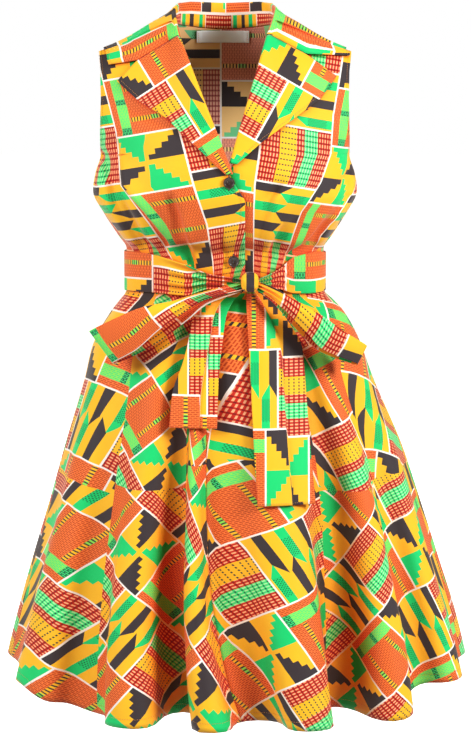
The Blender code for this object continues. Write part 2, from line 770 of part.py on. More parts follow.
def gorge_row(hand):
    # The collar's front end: beside the lapel to the notch, then free to the tip
    gorge, notch, tip = ((GORGE_RIGHT, NOTCH_RIGHT, COLLAR_TIP_RIGHT) if hand < 0
                         else (GORGE_LEFT, NOTCH_LEFT, COLLAR_TIP_LEFT))
    edge = RIGHT_EDGE if hand < 0 else LEFT_EDGE
    roll = Vector((gorge.x, gorge.z))
    point = Vector((tip.x, tip.z))
    row = turned_row(roll, point, roll_direction(edge, gorge.z), hand,
                     lambda v: gorge_bend(v, gorge, notch, point))
    for place in row:
        place.z += GORGE_GAP
    return row


def chart_place(point):
    # Distance across and over the shoulder of a point near the body
    return point.x, signed_root(level_of(point.x, point.z), 1 if point.y >= 0 else -1)


def between_rows(near, far, share, hand):
    # A row part of the way from one collar row to the next, kept at the neckline
    # and over the shoulder
    edge, gorge = (RIGHT_EDGE, GORGE_RIGHT) if hand < 0 else (LEFT_EDGE, GORGE_LEFT)
    from_z = COLLAR[-1].z
    marks = [on_bodice(read_edge(edge, z), z, -1, 0.0)
             for z in (from_z, from_z + (gorge.z - from_z) * share, gorge.z)]
    shift = marks[1] - marks[0].lerp(marks[2], share)
    row = []
    for index, (start, end) in enumerate(zip(near, far)):
        if index <= TURN_STEPS + 1:
            row.append(start.lerp(end, share) + shift)
            continue
        (x, root), (to_x, to_root) = chart_place(start), chart_place(end)
        over = on_chart(x, root, 0.0)
        above = start - over
        place = on_chart(x + (to_x - x) * share, root + (to_root - root) * share,
                         lapel_rise((index - TURN_STEPS - 1) / FALL_COLUMNS) * share)
        row.append(place + above * (1 - share))
    return row


def collar_rows():
    # From the wearer's right gorge round the back of the neck to the left one
    shares = steps(COLLAR_STATIONS)
    right = [collar_row(share, -1) for share in shares]
    left = [collar_row(share, 1) for share in shares]
    ends = {-1: gorge_row(-1), 1: gorge_row(1)}
    for rows, hand in ((right, -1), (left, 1)):
        last = rows[-1]
        rows += [between_rows(last, ends[hand], share, hand) for share in steps(GORGE_STEPS)[1:-1]]
        rows.append(ends[hand])
    return right[::-1] + left[1:]


def make_collar(material, collection):
    add_shell("collar", collar_rows(), TURNED_WALL, material, collection, faces_back=True)


# Skirt

SKIRT_ROWS = [0.0, 0.042, 0.09, 0.16, 0.26, 0.38, 0.52, 0.68, 0.84, 1.0]
FLUTE_STEPS = 4
SIDE_SEAM_LEFT = 90.0
SIDE_SEAM_RIGHT = 270.0
FRONT_SEAM = 2.0
SEAM_DEGREES = 0.7

# Level of the hem at the sides, how much lower it hangs in front and behind, and
# where round the hem that starts and is full, as the cosine from the front
HEM_SIDE = -0.938
HEM_FRONT_DROP = 0.033
HEM_BACK_DROP = 0.017
HEM_FRONT = (0.50, 0.82)
HEM_BACK = (-0.2, -0.8)


def flute_at(place, down):
    # Angle in degrees and distance in or out of one line of the cloth
    first = FLUTES[0].place
    place = first + (place - first) % 360
    low, high = next((a, b) for a, b in zip(FLUTES, FLUTES[1:]) if place <= b.place)
    span = high.place - low.place
    phase = (place - low.place) / span
    growth = down ** FLUTE_GROWTH
    wave = (1 - math.cos(math.pi * phase)) / 2
    rise = (low.rise + (high.rise - low.rise) * wave) * growth
    steep = min(1.0, abs(high.rise - low.rise) / OVERHANG_DEPTH) * growth
    shift = OVERHANG * span * math.sin(2 * math.pi * phase) / (2 * math.pi) * steep
    upper = min(1.0, (1 - down) / (1 - LEAN_FROM))
    lean = (low.lean + (high.lean - low.lean) * phase) * upper * (2 - upper)
    return place + shift + lean, rise


def hem_level(degrees):
    forward = math.cos(math.radians(degrees))
    front = smooth_step(*HEM_FRONT, forward)
    back = smooth_step(*HEM_BACK, forward)
    return HEM_SIDE - HEM_FRONT_DROP * front - HEM_BACK_DROP * back


def skirt_point(place, down):
    degrees, rise = flute_at(place, down)
    angle = math.radians(degrees)
    top = WAIST_LEVEL - SEAM_GAP / 2
    z = top + (hem_level(degrees) - top) * down
    depth = read_table(SKIRT, "front" if math.cos(angle) > 0 else "back", z)
    half = read_table(SKIRT, "half", z)
    centre = read_table(SKIRT, "centre", z)
    point = ring_point(angle, half, depth, centre)
    return point + Vector((rise * math.sin(angle), -rise * math.cos(angle), z))


def skirt_places(start, end):
    # Lines of the cloth between two seams, several to each side of a flute
    places = []
    for turn in (-360, 0, 360):
        for low, high in zip(FLUTES, FLUTES[1:]):
            places += [turn + place for place in steps(FLUTE_STEPS, low.place, high.place)[:-1]]
    clear = 2 * SEAM_DEGREES
    inner = sorted(place for place in places if start + clear < place < end - clear)
    return [start + SEAM_DEGREES] + inner + [end - SEAM_DEGREES]


def skirt_panel(start, end):
    rows = []
    for down in reversed(SKIRT_ROWS):
        row = [skirt_point(place, down) for place in skirt_places(start, end)]
        before = seam_point(row[0], skirt_point(start - SEAM_DEGREES, down))
        after = seam_point(row[-1], skirt_point(end + SEAM_DEGREES, down))
        rows.append([before] + row + [after])
    return rows


def make_skirt(material, collection):
    right, left = SIDE_SEAM_RIGHT - 360, SIDE_SEAM_LEFT
    add_shell("skirt_front_right", skirt_panel(right, FRONT_SEAM), CLOTH_WALL, material, collection)
    add_shell("skirt_front_left", skirt_panel(FRONT_SEAM, left), CLOTH_WALL, material, collection)
    add_shell("skirt_back", skirt_panel(left, SIDE_SEAM_RIGHT), CLOTH_WALL, material, collection)


# Sash

BAND_STEPS = 38
BAND_ROWS = 6
STRIP_ROWS = 4
STRIP_STEPS = 22
TAIL_ROWS = 9
TAIL_COLUMNS = 6


def band_rows():
    rows = []
    for up in steps(BAND_ROWS):
        row = []
        for place in steps(BAND_STEPS, SASH[0].place, SASH[-1].place):
            angle = math.radians(place)
            bottom, top = read_table(SASH, "bottom", place), read_table(SASH, "top", place)
            gather = smooth_step(GATHER_FROM, 1.0, math.cos(angle))
            crease = CREASE_DEPTH * gather * math.cos(2 * math.pi * SASH_CREASES * up)
            out = read_table(SASH, "out", place) + crease
            depth = read_table(BODICE, "front" if math.cos(angle) > 0 else "back", WAIST_LEVEL)
            point = ring_point(angle, BODICE[0].half + out, depth + out, BODICE_CENTRE)
            row.append(Vector((point.x, point.y, bottom + (top - bottom) * up)))
        rows.append(row)
    return rows


def loop_rows(stations):
    keys = steps(len(stations) - 1)
    rows = []
    for up in steps(STRIP_ROWS):
        row = []
        for share in steps(STRIP_STEPS):
            low = Vector([smooth_mix(keys, [getattr(s, n) for s in stations], share)
                          for n in ("low_x", "y", "low_z")])
            top = Vector([smooth_mix(keys, [getattr(s, n) for s in stations], share)
                          for n in ("top_x", "y", "top_z")])
            point = low.lerp(top, up)
            point.y -= LOOP_CROWN * math.sin(math.pi * up) * math.sin(2 * math.pi * share)
            row.append(point)
        rows.append(row)
    return rows


Pair = namedtuple("Pair", "key value")


def smooth_mix(keys, values, share):
    # Smooth curve through values that lie evenly along a strip
    return read_table([Pair(key, value) for key, value in zip(keys, values)], "value", share)


def before_skirt(x, z, out):
    # Place in front of the skirt's flutes
    growth = ((WAIST_LEVEL - z) / (WAIST_LEVEL - hem_level(0))) ** FLUTE_GROWTH
    proud = FLUTE_ENVELOPE * growth + out
    half = read_table(SKIRT, "half", z) + proud
    across = (x - read_table(SKIRT, "centre", z)) / half
    depth = read_table(SKIRT, "front", z) + proud
    return Vector((x, -depth * math.sqrt(1 - across * across), z))


def tail_rows(levels):
    rows = []
    for share in steps(TAIL_ROWS):
        z = levels[0].z + (levels[-1].z - levels[0].z) * share
        left, right = read_table(levels, "left", z), read_table(levels, "right", z)
        out = read_table(levels, "out", z)
        row = []
        for across in steps(TAIL_COLUMNS):
            fold = TAIL_FOLD * math.sin(math.pi * across) ** 2 * share
            row.append(before_skirt(left + (right - left) * across, z, out + fold))
        rows.append(row)
    return rows


def make_sash(material, collection):
    add_shell("sash_band", band_rows(), CLOTH_WALL, material, collection)
    add_shell("sash_loop_right", loop_rows(LOOP_RIGHT), CLOTH_WALL, material, collection, faces_back=True)
    add_shell("sash_loop_left", loop_rows(LOOP_LEFT), CLOTH_WALL, material, collection)
    add_shell("sash_tail_right", tail_rows(TAIL_RIGHT), CLOTH_WALL, material, collection)
    add_shell("sash_tail_left", tail_rows(TAIL_LEFT), CLOTH_WALL, material, collection)
    make_knot(material, collection)


def make_knot(material, collection):
    # A soft lump from a cube cage
    cage = bmesh.new()
    bmesh.ops.create_cube(cage, size=1.0)
    for vertex in cage.verts:
        vertex.co *= KNOT_SIZE
    mesh = bpy.data.meshes.new("sash_knot")
    cage.to_mesh(mesh)
    cage.free()
    knot = add_node("sash_knot", mesh, material, collection)
    knot.location = KNOT
    soft = knot.modifiers.new("soft", "SUBSURF")
    soft.levels = 2
    soft.render_levels = 2


# Buttons and label

BUTTONS = {"button_top": (0.0050, -0.2070), "button_waist": (0.0113, -0.3215)}
BUTTON_SIDES = 20
BUTTON_SEAT = 0.0005
RIM_WIDTH = 0.0007
HOLE_SPREAD = 0.0019
HOLE_SIDES = 8
HOLE_TWIST = 0.13


def button_mesh(material, cutters):
    # Round button with a softened rim and four sewing holes, lying flat
    bpy.ops.mesh.primitive_cylinder_add(vertices=BUTTON_SIDES, radius=BUTTON_DIAMETER / 2,
                                        depth=BUTTON_THICKNESS)
    blank = bpy.context.object
    blank.name = "button_blank"
    blank.hide_render = True
    blank.display_type = "WIRE"
    move_to(blank, cutters)
    blank.data.materials.append(material)
    rim = blank.modifiers.new("rim", "BEVEL")
    rim.width = RIM_WIDTH
    rim.segments = 2
    rim.limit_method = "ANGLE"
    for number in range(4):
        quarter = math.pi / 4 + number * math.pi / 2
        place = Vector((math.cos(quarter), math.sin(quarter), 0)) * HOLE_SPREAD
        bpy.ops.mesh.primitive_cylinder_add(vertices=HOLE_SIDES, radius=BUTTON_HOLE / 2,
                                            depth=BUTTON_THICKNESS * 3, location=place,
                                            rotation=(0, 0, HOLE_TWIST))
        hole = bpy.context.object
        hole.name = f"button_hole_{number}"
        hole.hide_render = True
        hole.display_type = "WIRE"
        move_to(hole, cutters)
        cut = blank.modifiers.new("hole", "BOOLEAN")
        cut.object = hole
        cut.operation = "DIFFERENCE"
        cut.solver = "EXACT"
    bpy.context.view_layer.update()
    return bpy.data.meshes.new_from_object(blank.evaluated_get(bpy.context.evaluated_depsgraph_get()))


def make_buttons(material, collection, cutters):
    mesh = button_mesh(material, cutters)
    for name, (x, z) in BUTTONS.items():
        normal = bodice_normal(angle_of(x, z), z, -1)
        button = bpy.data.objects.new(name, mesh)
        collection.objects.link(button)
        button.rotation_mode = "QUATERNION"
        button.rotation_quaternion = normal.to_track_quat("Z", "Y")
        button.location = front_point(x, z, -1) + normal * (BUTTON_SEAT + BUTTON_THICKNESS / 2)


def move_to(item, collection):
    for old in list(item.users_collection):
        old.objects.unlink(item)
    collection.objects.link(item)


LABEL_ROWS = 2
LABEL_COLUMNS = 8


def label_rows():
    # A strip sewn in at the neck seam, on the inside of the back
    rows = []
    top = BACK_NECK_LEVEL - LABEL_DROP
    for z in steps(LABEL_ROWS, top - LABEL_HEIGHT, top):
        row = []
        for x in steps(LABEL_COLUMNS, LABEL_CENTRE - LABEL_WIDTH / 2, LABEL_CENTRE + LABEL_WIDTH / 2):
            row.append(on_bodice(x, z, 1, -CLOTH_WALL - LABEL_CLEAR))
        rows.append(row)
    return rows


def make_label(material, collection):
    add_shell("neck_label", label_rows(), LABEL_WALL, material, collection)


def main():
    clear_scene()
    dress = bpy.data.collections.new("wax_print_dress")
    cutters = bpy.data.collections.new("cutters")
    bpy.context.scene.collection.children.link(dress)
    bpy.context.scene.collection.children.link(cutters)
    cloth = finish("wax_print_cotton", CLOTH_COLOUR, CLOTH_ROUGHNESS)
    make_bodice(cloth, dress)
    make_lapels(cloth, dress)
    make_collar(cloth, dress)
    make_skirt(cloth, dress)
    make_sash(cloth, dress)
    make_buttons(finish("dark_button", BUTTON_COLOUR, BUTTON_ROUGHNESS), dress, cutters)
    make_label(finish("label_tape", LABEL_COLOUR, LABEL_ROUGHNESS), dress)


main()
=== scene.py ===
# Ankara wax print shirt dress in its worn shape: cloth, print, stitching, buttons.
# Metres, front towards -Y. Left and right are the wearer's, so the right is at -X.

import math
from functools import partialmethod

import bmesh
import bpy
import numpy as np
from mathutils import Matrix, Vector


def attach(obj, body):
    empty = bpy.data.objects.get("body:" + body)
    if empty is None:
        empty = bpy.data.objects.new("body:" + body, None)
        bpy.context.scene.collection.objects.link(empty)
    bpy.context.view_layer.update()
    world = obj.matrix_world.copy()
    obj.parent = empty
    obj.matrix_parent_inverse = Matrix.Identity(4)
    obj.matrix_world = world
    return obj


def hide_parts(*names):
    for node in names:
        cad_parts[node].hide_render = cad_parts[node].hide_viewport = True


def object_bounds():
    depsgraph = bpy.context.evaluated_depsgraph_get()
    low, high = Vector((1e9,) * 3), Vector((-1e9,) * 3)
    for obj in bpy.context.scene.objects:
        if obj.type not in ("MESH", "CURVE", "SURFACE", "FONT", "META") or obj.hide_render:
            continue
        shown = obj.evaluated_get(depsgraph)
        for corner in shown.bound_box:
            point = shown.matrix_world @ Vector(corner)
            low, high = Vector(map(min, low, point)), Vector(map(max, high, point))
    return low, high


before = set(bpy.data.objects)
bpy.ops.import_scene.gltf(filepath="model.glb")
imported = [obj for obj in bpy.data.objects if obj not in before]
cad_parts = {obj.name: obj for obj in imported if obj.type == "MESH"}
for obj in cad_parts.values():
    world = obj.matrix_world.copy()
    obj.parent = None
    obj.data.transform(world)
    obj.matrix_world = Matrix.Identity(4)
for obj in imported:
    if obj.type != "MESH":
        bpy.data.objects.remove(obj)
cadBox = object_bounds()
print("frame loaded")


# short names for shader and maths nodes

class Sums:
    def __init__(self, tree):
        self.tree = tree

    def add(self, kind, inputs=(), **settings):
        node = self.tree.nodes.new("ShaderNode" + kind)
        for name, value in settings.items():
            setattr(node, name, value)
        for name, value in dict(inputs).items():
            self.put(node.inputs[name], value)
        return node

    def put(self, socket, value):
        if isinstance(value, (int, float, tuple)):
            socket.default_value = value
        else:
            self.tree.links.new(value, socket)

    def run(self, operation, *values):
        return self.add("Math", enumerate(values), operation=operation).outputs[0]

    def times(self, *values):
        result = values[0]
        for value in values[1:]:
            result = self.run("MULTIPLY", result, value)
        return result

    def over(self, value, size):
        return self.times(value, 1 / size)

    plus = partialmethod(run, "ADD")
    minus = partialmethod(run, "SUBTRACT")
    rest = partialmethod(run, "SUBTRACT", 1.0)
    part = partialmethod(run, "FRACT")
    whole = partialmethod(run, "FLOOR")
    above = partialmethod(run, "GREATER_THAN")
    below = partialmethod(run, "LESS_THAN")
    either = partialmethod(run, "MAXIMUM")

    def odd(self, value):
        return self.run("FLOORED_MODULO", self.whole(value), 2)

    def between(self, value, low, high):
        return self.times(self.above(value, low), self.below(value, high))

    def choose(self, mask, no, yes):
        return self.add("Mix", {0: mask, 2: no, 3: yes}, data_type="FLOAT").outputs[0]

    def paint(self, mask, under, over, blend="MIX"):
        mix = self.add("Mix", {0: mask, 6: under, 7: over}, data_type="RGBA", blend_type=blend)
        return mix.outputs[2]

    def bands(self, value, stops):
        ramp = self.add("ValToRGB", {0: value})
        ramp.color_ramp.interpolation = "CONSTANT"
        elements = ramp.color_ramp.elements
        while len(elements) < len(stops):
            elements.new(0.5)
        for element, (place, name) in zip(elements, stops):
            element.position = place
            element.color = linear(name)
        return ramp.outputs[0]

    def noise(self, kind, settings):
        place = self.add("TexCoord").outputs["Object"]
        return self.add(kind, {"Vector": place, **settings}).outputs["Fac"]

    def printPlace(self):
        place = self.add("SeparateXYZ", {0: self.add("UVMap", uv_map="print").outputs[0]})
        return place.outputs[0], place.outputs[1]

    def bump(self, height, strength, distance):
        return self.add("Bump", {"Strength": strength, "Distance": distance, "Height": height}).outputs[0]


def newFinish(name, look):
    # A node material, with the shader's own sockets set from a short table
    finish = bpy.data.materials.new(name)
    finish.use_nodes = True
    sums = Sums(finish.node_tree)
    shader = finish.node_tree.nodes["Principled BSDF"]
    for socket, value in look.items():
        sums.put(shader.inputs[socket], value)
    return finish, sums, shader.inputs


# camera, light and floor

studio = {
    "cameraPlace": (0.014, -3.1649, -0.023),
    "cameraDown": 8.5,
    "lens": 103.64,
    "sensor": 36,
    "seen": (0.05, 60),
    # place, power and size of each lamp
    "lamps": {
        "key": ((2.3, -1.6, 0.8), 105, 0.9),
        "fill": ((-2.3, -1.5, 0.8), 78, 1.35),
        "rear": ((-0.6, 2.8, 0.9), 50, 1.35),
    },
    "lampAim": (0, 0, -0.45),
    "roomLight": (1.0, 0.7, 0.45, 1),
    "roomStrength": 0.22,
    "floorDrop": 0.16,
    "floorWidth": 40,
    "floorLook": {
        "Base Color": (0.93, 0.93, 0.93, 1),
        "Roughness": 0.9,
        "Emission Color": (1, 1, 1, 1),
        "Emission Strength": 1.0,
    },
}


def addStudio():
    bpy.ops.object.camera_add(location=studio["cameraPlace"],
                              rotation=(math.radians(90 - studio["cameraDown"]), 0, 0))
    eye = bpy.context.object
    eye.data.sensor_width = studio["sensor"]
    eye.data.lens = studio["lens"]
    eye.data.clip_start, eye.data.clip_end = studio["seen"]
    bpy.context.scene.camera = eye
    for name, settings in studio["lamps"].items():
        addLamp(name, *settings)
    bpy.context.scene.world = warmRoom()
    bpy.context.scene.view_settings.view_transform = "Standard"
    low = cadBox[0].z - studio["floorDrop"]
    bpy.ops.mesh.primitive_plane_add(size=studio["floorWidth"], location=(0, 0, low))
    floor = bpy.context.object
    floor.name = "floor"
    floor.data.materials.append(newFinish("pale_floor", studio["floorLook"])[0])
    floor.visible_diffuse = False


def warmRoom():
    # White behind the dress, and a warmer, dimmer light all round it
    world = bpy.data.worlds.new("studio")
    world.use_nodes = True
    sums, nodes = Sums(world.node_tree), world.node_tree.nodes
    warm = nodes["Background"]
    sums.put(warm.inputs["Color"], studio["roomLight"])
    sums.put(warm.inputs["Strength"], studio["roomStrength"])
    white = sums.add("Background", {"Color": (1, 1, 1, 1)})
    seen = sums.add("LightPath").outputs["Is Camera Ray"]
    mix = sums.add("MixShader", {0: seen, 1: warm.outputs[0], 2: white.outputs[0]})
    sums.put(nodes["World Output"].inputs["Surface"], mix.outputs[0])
    return world


def addLamp(name, place, power, size):
    bpy.ops.object.light_add(type="AREA", location=place)
    lamp = bpy.context.object
    lamp.name = name
    lamp.data.energy = power
    lamp.data.size = size
    aim = Vector(studio["lampAim"]) - Vector(place)
    lamp.rotation_euler = aim.to_track_quat("-Z", "Y").to_euler()


bpy.ops.object.select_all(action="DESELECT")
addStudio()
print("studio ready")


# curves through short tables

def smoothStep(low, high, value):
    share = np.clip((value - low) / (high - low), 0, 1)
    return share * share * (3 - 2 * share)


def readCurve(keys, values, key):
    # Smooth curve through the values, level where they turn back
    keys, values = np.asarray(keys, float), np.asarray(values, float)
    widths = np.diff(keys)
    slopes = np.diff(values) / widths
    tangents = np.concatenate([slopes[:1], np.zeros(len(keys) - 2), slopes[-1:]])
    same = slopes[:-1] * slopes[1:] > 0
    both = np.where(same, slopes[:-1] + slopes[1:], 1)
    tangents[1:-1] = np.where(same, 2 * slopes[:-1] * slopes[1:] / both, 0)
    key = np.clip(key, keys[0], keys[-1])
    index = np.clip(np.searchsorted(keys, key, side="right") - 1, 0, len(keys) - 2)
    share = (key - keys[index]) / widths[index]
    square, cube = share ** 2, share ** 3
    return (values[index] * (2 * cube - 3 * square + 1)
            + values[index + 1] * (3 * square - 2 * cube)
            + tangents[index] * widths[index] * (cube - 2 * square + share)
            + tangents[index + 1] * widths[index] * (cube - square))


def unit(vectors):
    return vectors / np.maximum(np.linalg.norm(vectors, axis=-1, keepdims=True), 1e-9)


def stack(x, y, z):
    return np.stack(np.broadcast_arrays(x, y, z), axis=-1)


# body under the bodice

body = {
    "centre": -0.0015,
    "roundness": 2.2,
    "shoulderTop": 0.018,
    "shoulderSlope": 0.367,
    "neckHalf": 0.0755,
    "neckRise": 0.05,
    "tipHalf": 0.1853,
    "underarm": -0.171,
    "slopeFull": -0.04,
    "waist": -0.3525,
    "heights": (-0.4, 0.08),
    "halvings": 30,
    "seamGap": 0.0003,
    "seamStrip": 0.0025,
    "z": [-0.3525, -0.311, -0.292, -0.26, -0.226, -0.2, -0.171, -0.13, -0.09, -0.06,
          -0.03, -0.01, 0.005, 0.018],
    "half": [0.1465, 0.1465, 0.158, 0.1785, 0.195, 0.1915, 0.1835, 0.196, 0.202, 0.204,
             0.204, 0.2035, 0.203, 0.203],
    "front": [0.105, 0.105, 0.119, 0.131, 0.137, 0.136, 0.131, 0.119, 0.104, 0.091,
              0.073, 0.055, 0.036, 0.003],
    "back": [0.095, 0.095, 0.101, 0.108, 0.115, 0.118, 0.119, 0.118, 0.113, 0.104,
             0.087, 0.067, 0.045, 0.003],
    "armholeZ": [-0.171, -0.155, -0.13, -0.09, -0.05, -0.0236],
    "armholeX": [0.1835, 0.1822, 0.1808, 0.1797, 0.1815, 0.1853],
}


def crest(x):
    # Top of the body seen from the front: shoulder slopes, and a neck between them
    across = np.abs(x - body["centre"])
    sloping = body["shoulderTop"] - (across - body["neckHalf"]) * body["shoulderSlope"]
    neck = body["shoulderTop"] + body["neckRise"] * (1 - (across / body["neckHalf"]) ** 2)
    return np.where(across >= body["neckHalf"], sloping, neck)


def levelOf(x, z):
    # Heights are stretched up to the shoulders, so that the slope is one level
    return z + (body["shoulderTop"] - crest(x)) * smoothStep(body["underarm"], body["slopeFull"], z)


def heightAt(x, level):
    # The height over x where the body reaches a level, found by halving
    low, high = (np.full(np.shape(x), limit) for limit in body["heights"])
    for _ in range(body["halvings"]):
        middle = (low + high) / 2
        below = levelOf(x, middle) < level
        low, high = np.where(below, middle, low), np.where(below, high, middle)
    return low


def rounded(value):
    return np.copysign(np.abs(value) ** (2 / body["roundness"]), value)


def depthAt(level, side):
    front, back = (readCurve(body["z"], body[key], level) for key in ("front", "back"))
    return np.where(side < 0, front, back)


def bodiceAt(angle, z, side):
    angle, z = np.broadcast_arrays(np.asarray(angle, float), np.asarray(z, float))
    x = np.full(z.shape, body["centre"])
    for _ in range(4):
        x = body["centre"] + readCurve(body["z"], body["half"], levelOf(x, z)) * rounded(np.sin(angle))
    return stack(x, side * depthAt(levelOf(x, z), side) * rounded(np.cos(angle)), z)


def angleOf(x, z):
    half = readCurve(body["z"], body["half"], levelOf(x, z))
    across = np.clip((x - body["centre"]) / half, -1, 1)
    return np.arcsin(np.copysign(np.abs(across) ** (body["roundness"] / 2), across))


def bodiceNormal(angle, z, side, step=0.004):
    across = bodiceAt(angle + step, z, side) - bodiceAt(angle - step, z, side)
    upward = bodiceAt(angle, z + step, side) - bodiceAt(angle, z - step, side)
    normal = unit(np.cross(across, upward))
    outward = stack(np.sin(angle), side * np.cos(angle), 0 * angle)
    facing = (normal * outward).sum(-1, keepdims=True)
    return np.where(facing >= 0, normal, -normal)


def onBodice(x, z, side, rise):
    x, z, rise = np.broadcast_arrays(np.asarray(x, float), np.asarray(z, float), np.asarray(rise, float))
    angle = angleOf(x, z)
    return bodiceAt(angle, z, side) + bodiceNormal(angle, z, side) * rise[..., None]


fold = {
    "steepShare": 0.35,
    "creaseEnd": 0.012,
    "start": (-0.15, 0.45),
    "end": (1.25, 0.85),
    "aboveWaist": (0.034, 0.064),
    "creaseAboveWaist": (0.012, 0.03),
}


def creaseRise(creases, x, z):
    # Troughs down a line of points, steeper on one side: points, width, rise, steep side
    total = np.zeros(np.broadcast(x, z).shape)
    end = fold["creaseEnd"]
    for points, width, rise, steep in creases:
        pointX, pointZ = np.array(points).T
        slant = math.cos(math.atan2(np.ptp(pointX), np.ptp(pointZ)))
        away = (x - np.interp(z, pointZ, pointX)) * slant
        spread = np.where(away * steep > 0, width * fold["steepShare"], width)
        fade = (smoothStep(pointZ[0] - end, pointZ[0] + end, z)
                * smoothStep(pointZ[-1] + end, pointZ[-1] - end, z))
        total += rise * fade * np.exp(-(away / spread) ** 2)
    return total


def foldRise(folds, x, z):
    # Soft ridges and troughs along lines: from x, z to x, z, width, rise
    total = np.zeros(np.broadcast(x, z).shape)
    for fromX, fromZ, toX, toZ, width, rise in folds:
        runX, runZ = toX - fromX, toZ - fromZ
        length = math.hypot(runX, runZ)
        along = ((x - fromX) * runX + (z - fromZ) * runZ) / length ** 2
        away = np.abs((x - fromX) * runZ - (z - fromZ) * runX) / length
        fade = smoothStep(*fold["start"], along) * smoothStep(*fold["end"], along)
        total += rise * fade * np.exp(-(away / width) ** 2)
    return total


def aboveWaist(limits, z):
    return smoothStep(body["waist"] + limits[0], body["waist"] + limits[1], z)


# print on the cloth, laid out in flat metres

wax = {
    "column": 0.11,
    "block": 0.088,
    "shift": 0.22,
    "line": 0.0027,
    "yellow": (255, 196, 30),
    "orange": (244, 122, 52),
    "ember": (192, 62, 10),
    "red": (200, 34, 12),
    "deepRed": (118, 6, 10),
    "blush": (255, 190, 140),
    "mint": (60, 232, 130),
    "paleMint": (178, 250, 178),
    "pine": (0, 92, 58),
    "green": (0, 214, 116),
    "lime": (140, 236, 90),
    "charcoal": (50, 42, 46),
    "white": (252, 250, 246),
}


def linear(name):
    values = [((c / 255 + 0.055) / 1.055) ** 2.4 if c > 10 else c / 3295 for c in wax[name]]
    return (*values, 1)


stair = {
    "green": {"from": 0.045, "to": 0.485, "wide": 0.088, "tall": 0.093},
    "dark": {"from": 0.54, "top": 0.455, "wide": 0.092, "tall": 0.0885},
}


def stairBlock(sums, s, t):
    # Two charcoal and two green stepped corners, the same after half a turn
    turned = sums.above(t, 0.5)
    s = sums.choose(turned, s, sums.rest(s))
    t = sums.choose(turned, t, sums.rest(t))

    def climb(steps):
        number = sums.plus(sums.whole(sums.over(sums.minus(s, steps["from"]), steps["wide"])), 1.0)
        return sums.times(number, steps["tall"])

    low, high = stair["green"], stair["dark"]
    green = sums.times(sums.between(s, low["from"], low["to"]), sums.below(t, climb(low)))
    darkTop = sums.minus(high["top"], climb(high))
    dark = sums.times(sums.above(s, high["from"]), sums.below(t, high["top"]), sums.above(t, darkTop))
    colour = sums.paint(green, linear("yellow"), linear("green"))
    return sums.paint(dark, colour, linear("charcoal"))


chevron = {
    "pairs": 3.0,
    "shift": 0.42,
    "leftEnd": 0.62,
    "leftTall": 0.47,
    "rightEnd": 0.42,
    "rightTall": 0.45,
    "point": 0.4,
    "dotRow": 0.0024,
    "dotColumn": 0.0038,
    "dotWide": 0.5,
    "dotTall": 0.62,
    "dotted": ((0.16, 0.44), (0.62, 0.9)),
}


def chevronBlock(sums, s, t, u, v):
    # Bars from both sides that meet in points, charcoal and dotted green in turn
    leftT = sums.times(t, chevron["pairs"])
    rightT = sums.minus(leftT, chevron["shift"])
    leftEnd = sums.minus(chevron["leftEnd"], sums.times(sums.part(leftT), chevron["point"]))
    rightEnd = sums.plus(chevron["rightEnd"], sums.times(sums.part(rightT), chevron["point"]))
    left = sums.times(sums.below(sums.part(leftT), chevron["leftTall"]), sums.below(s, leftEnd))
    right = sums.times(sums.below(sums.part(rightT), chevron["rightTall"]), sums.above(s, rightEnd))
    greenLeft, greenRight = sums.odd(leftT), sums.rest(sums.odd(rightT))
    dark = sums.either(sums.times(left, sums.rest(greenLeft)), sums.times(right, sums.rest(greenRight)))
    green = sums.either(sums.times(left, greenLeft), sums.times(right, greenRight))
    row = sums.over(v, chevron["dotRow"])
    column = sums.plus(sums.over(u, chevron["dotColumn"]), sums.times(sums.odd(row), 0.5))
    dots = sums.times(sums.below(sums.part(column), chevron["dotWide"]),
                      sums.below(sums.part(row), chevron["dotTall"]),
                      sums.either(*[sums.between(s, *limits) for limits in chevron["dotted"]]))
    greenColour = sums.paint(dots, linear("green"), linear("pine"))
    colour = sums.paint(green, linear("yellow"), greenColour)
    return sums.paint(dark, colour, linear("charcoal"))


banded = {
    "stops": (0.0, 0.25, 0.47, 0.58, 0.77),
    "ground": ("red", "yellow", "red", "mint", "red"),
    "pale": ("blush", "yellow", "blush", "paleMint", "blush"),
    "deep": ("deepRed", "charcoal", "deepRed", "pine", "deepRed"),
    "row": 0.008,
    "column": 0.0046,
    "dash": (0.42, 0.32, 0.92),
    "mark": (0.42, 0.96, 0.26),
}


def bandedBlock(sums, s, u, v):
    # Red, yellow, red, mint and red bands, crossed by rows of dashes and dots
    ground, pale, deep = (sums.bands(s, list(zip(banded["stops"], banded[key])))
                          for key in ("ground", "pale", "deep"))
    row = sums.part(sums.over(v, banded["row"]))
    column = sums.part(sums.over(u, banded["column"]))
    wide, low, high = banded["dash"]
    dash = sums.times(sums.below(column, wide), sums.between(row, low, high))
    left, right, tall = banded["mark"]
    mark = sums.times(sums.between(column, left, right), sums.below(row, tall))
    return sums.paint(mark, sums.paint(dash, ground, pale), deep)


dashed = {
    "column": 0.0026,
    "row": 0.0082,
    "wide": 0.5,
    "tall": 0.8,
    "squareRows": ((0.17, 0.245), (0.7, 0.775)),
    "squaresFrom": 0.31,
    "limeFrom": (0.5, 0.64),
    "limeWide": 0.12,
    "stroke": 0.005,
    "strokeWide": 0.42,
    "band": (0.12, 0.29),
    "bandStops": [(0.0, "lime"), (0.37, "pine"), (0.46, "lime"), (0.86, "pine")],
}


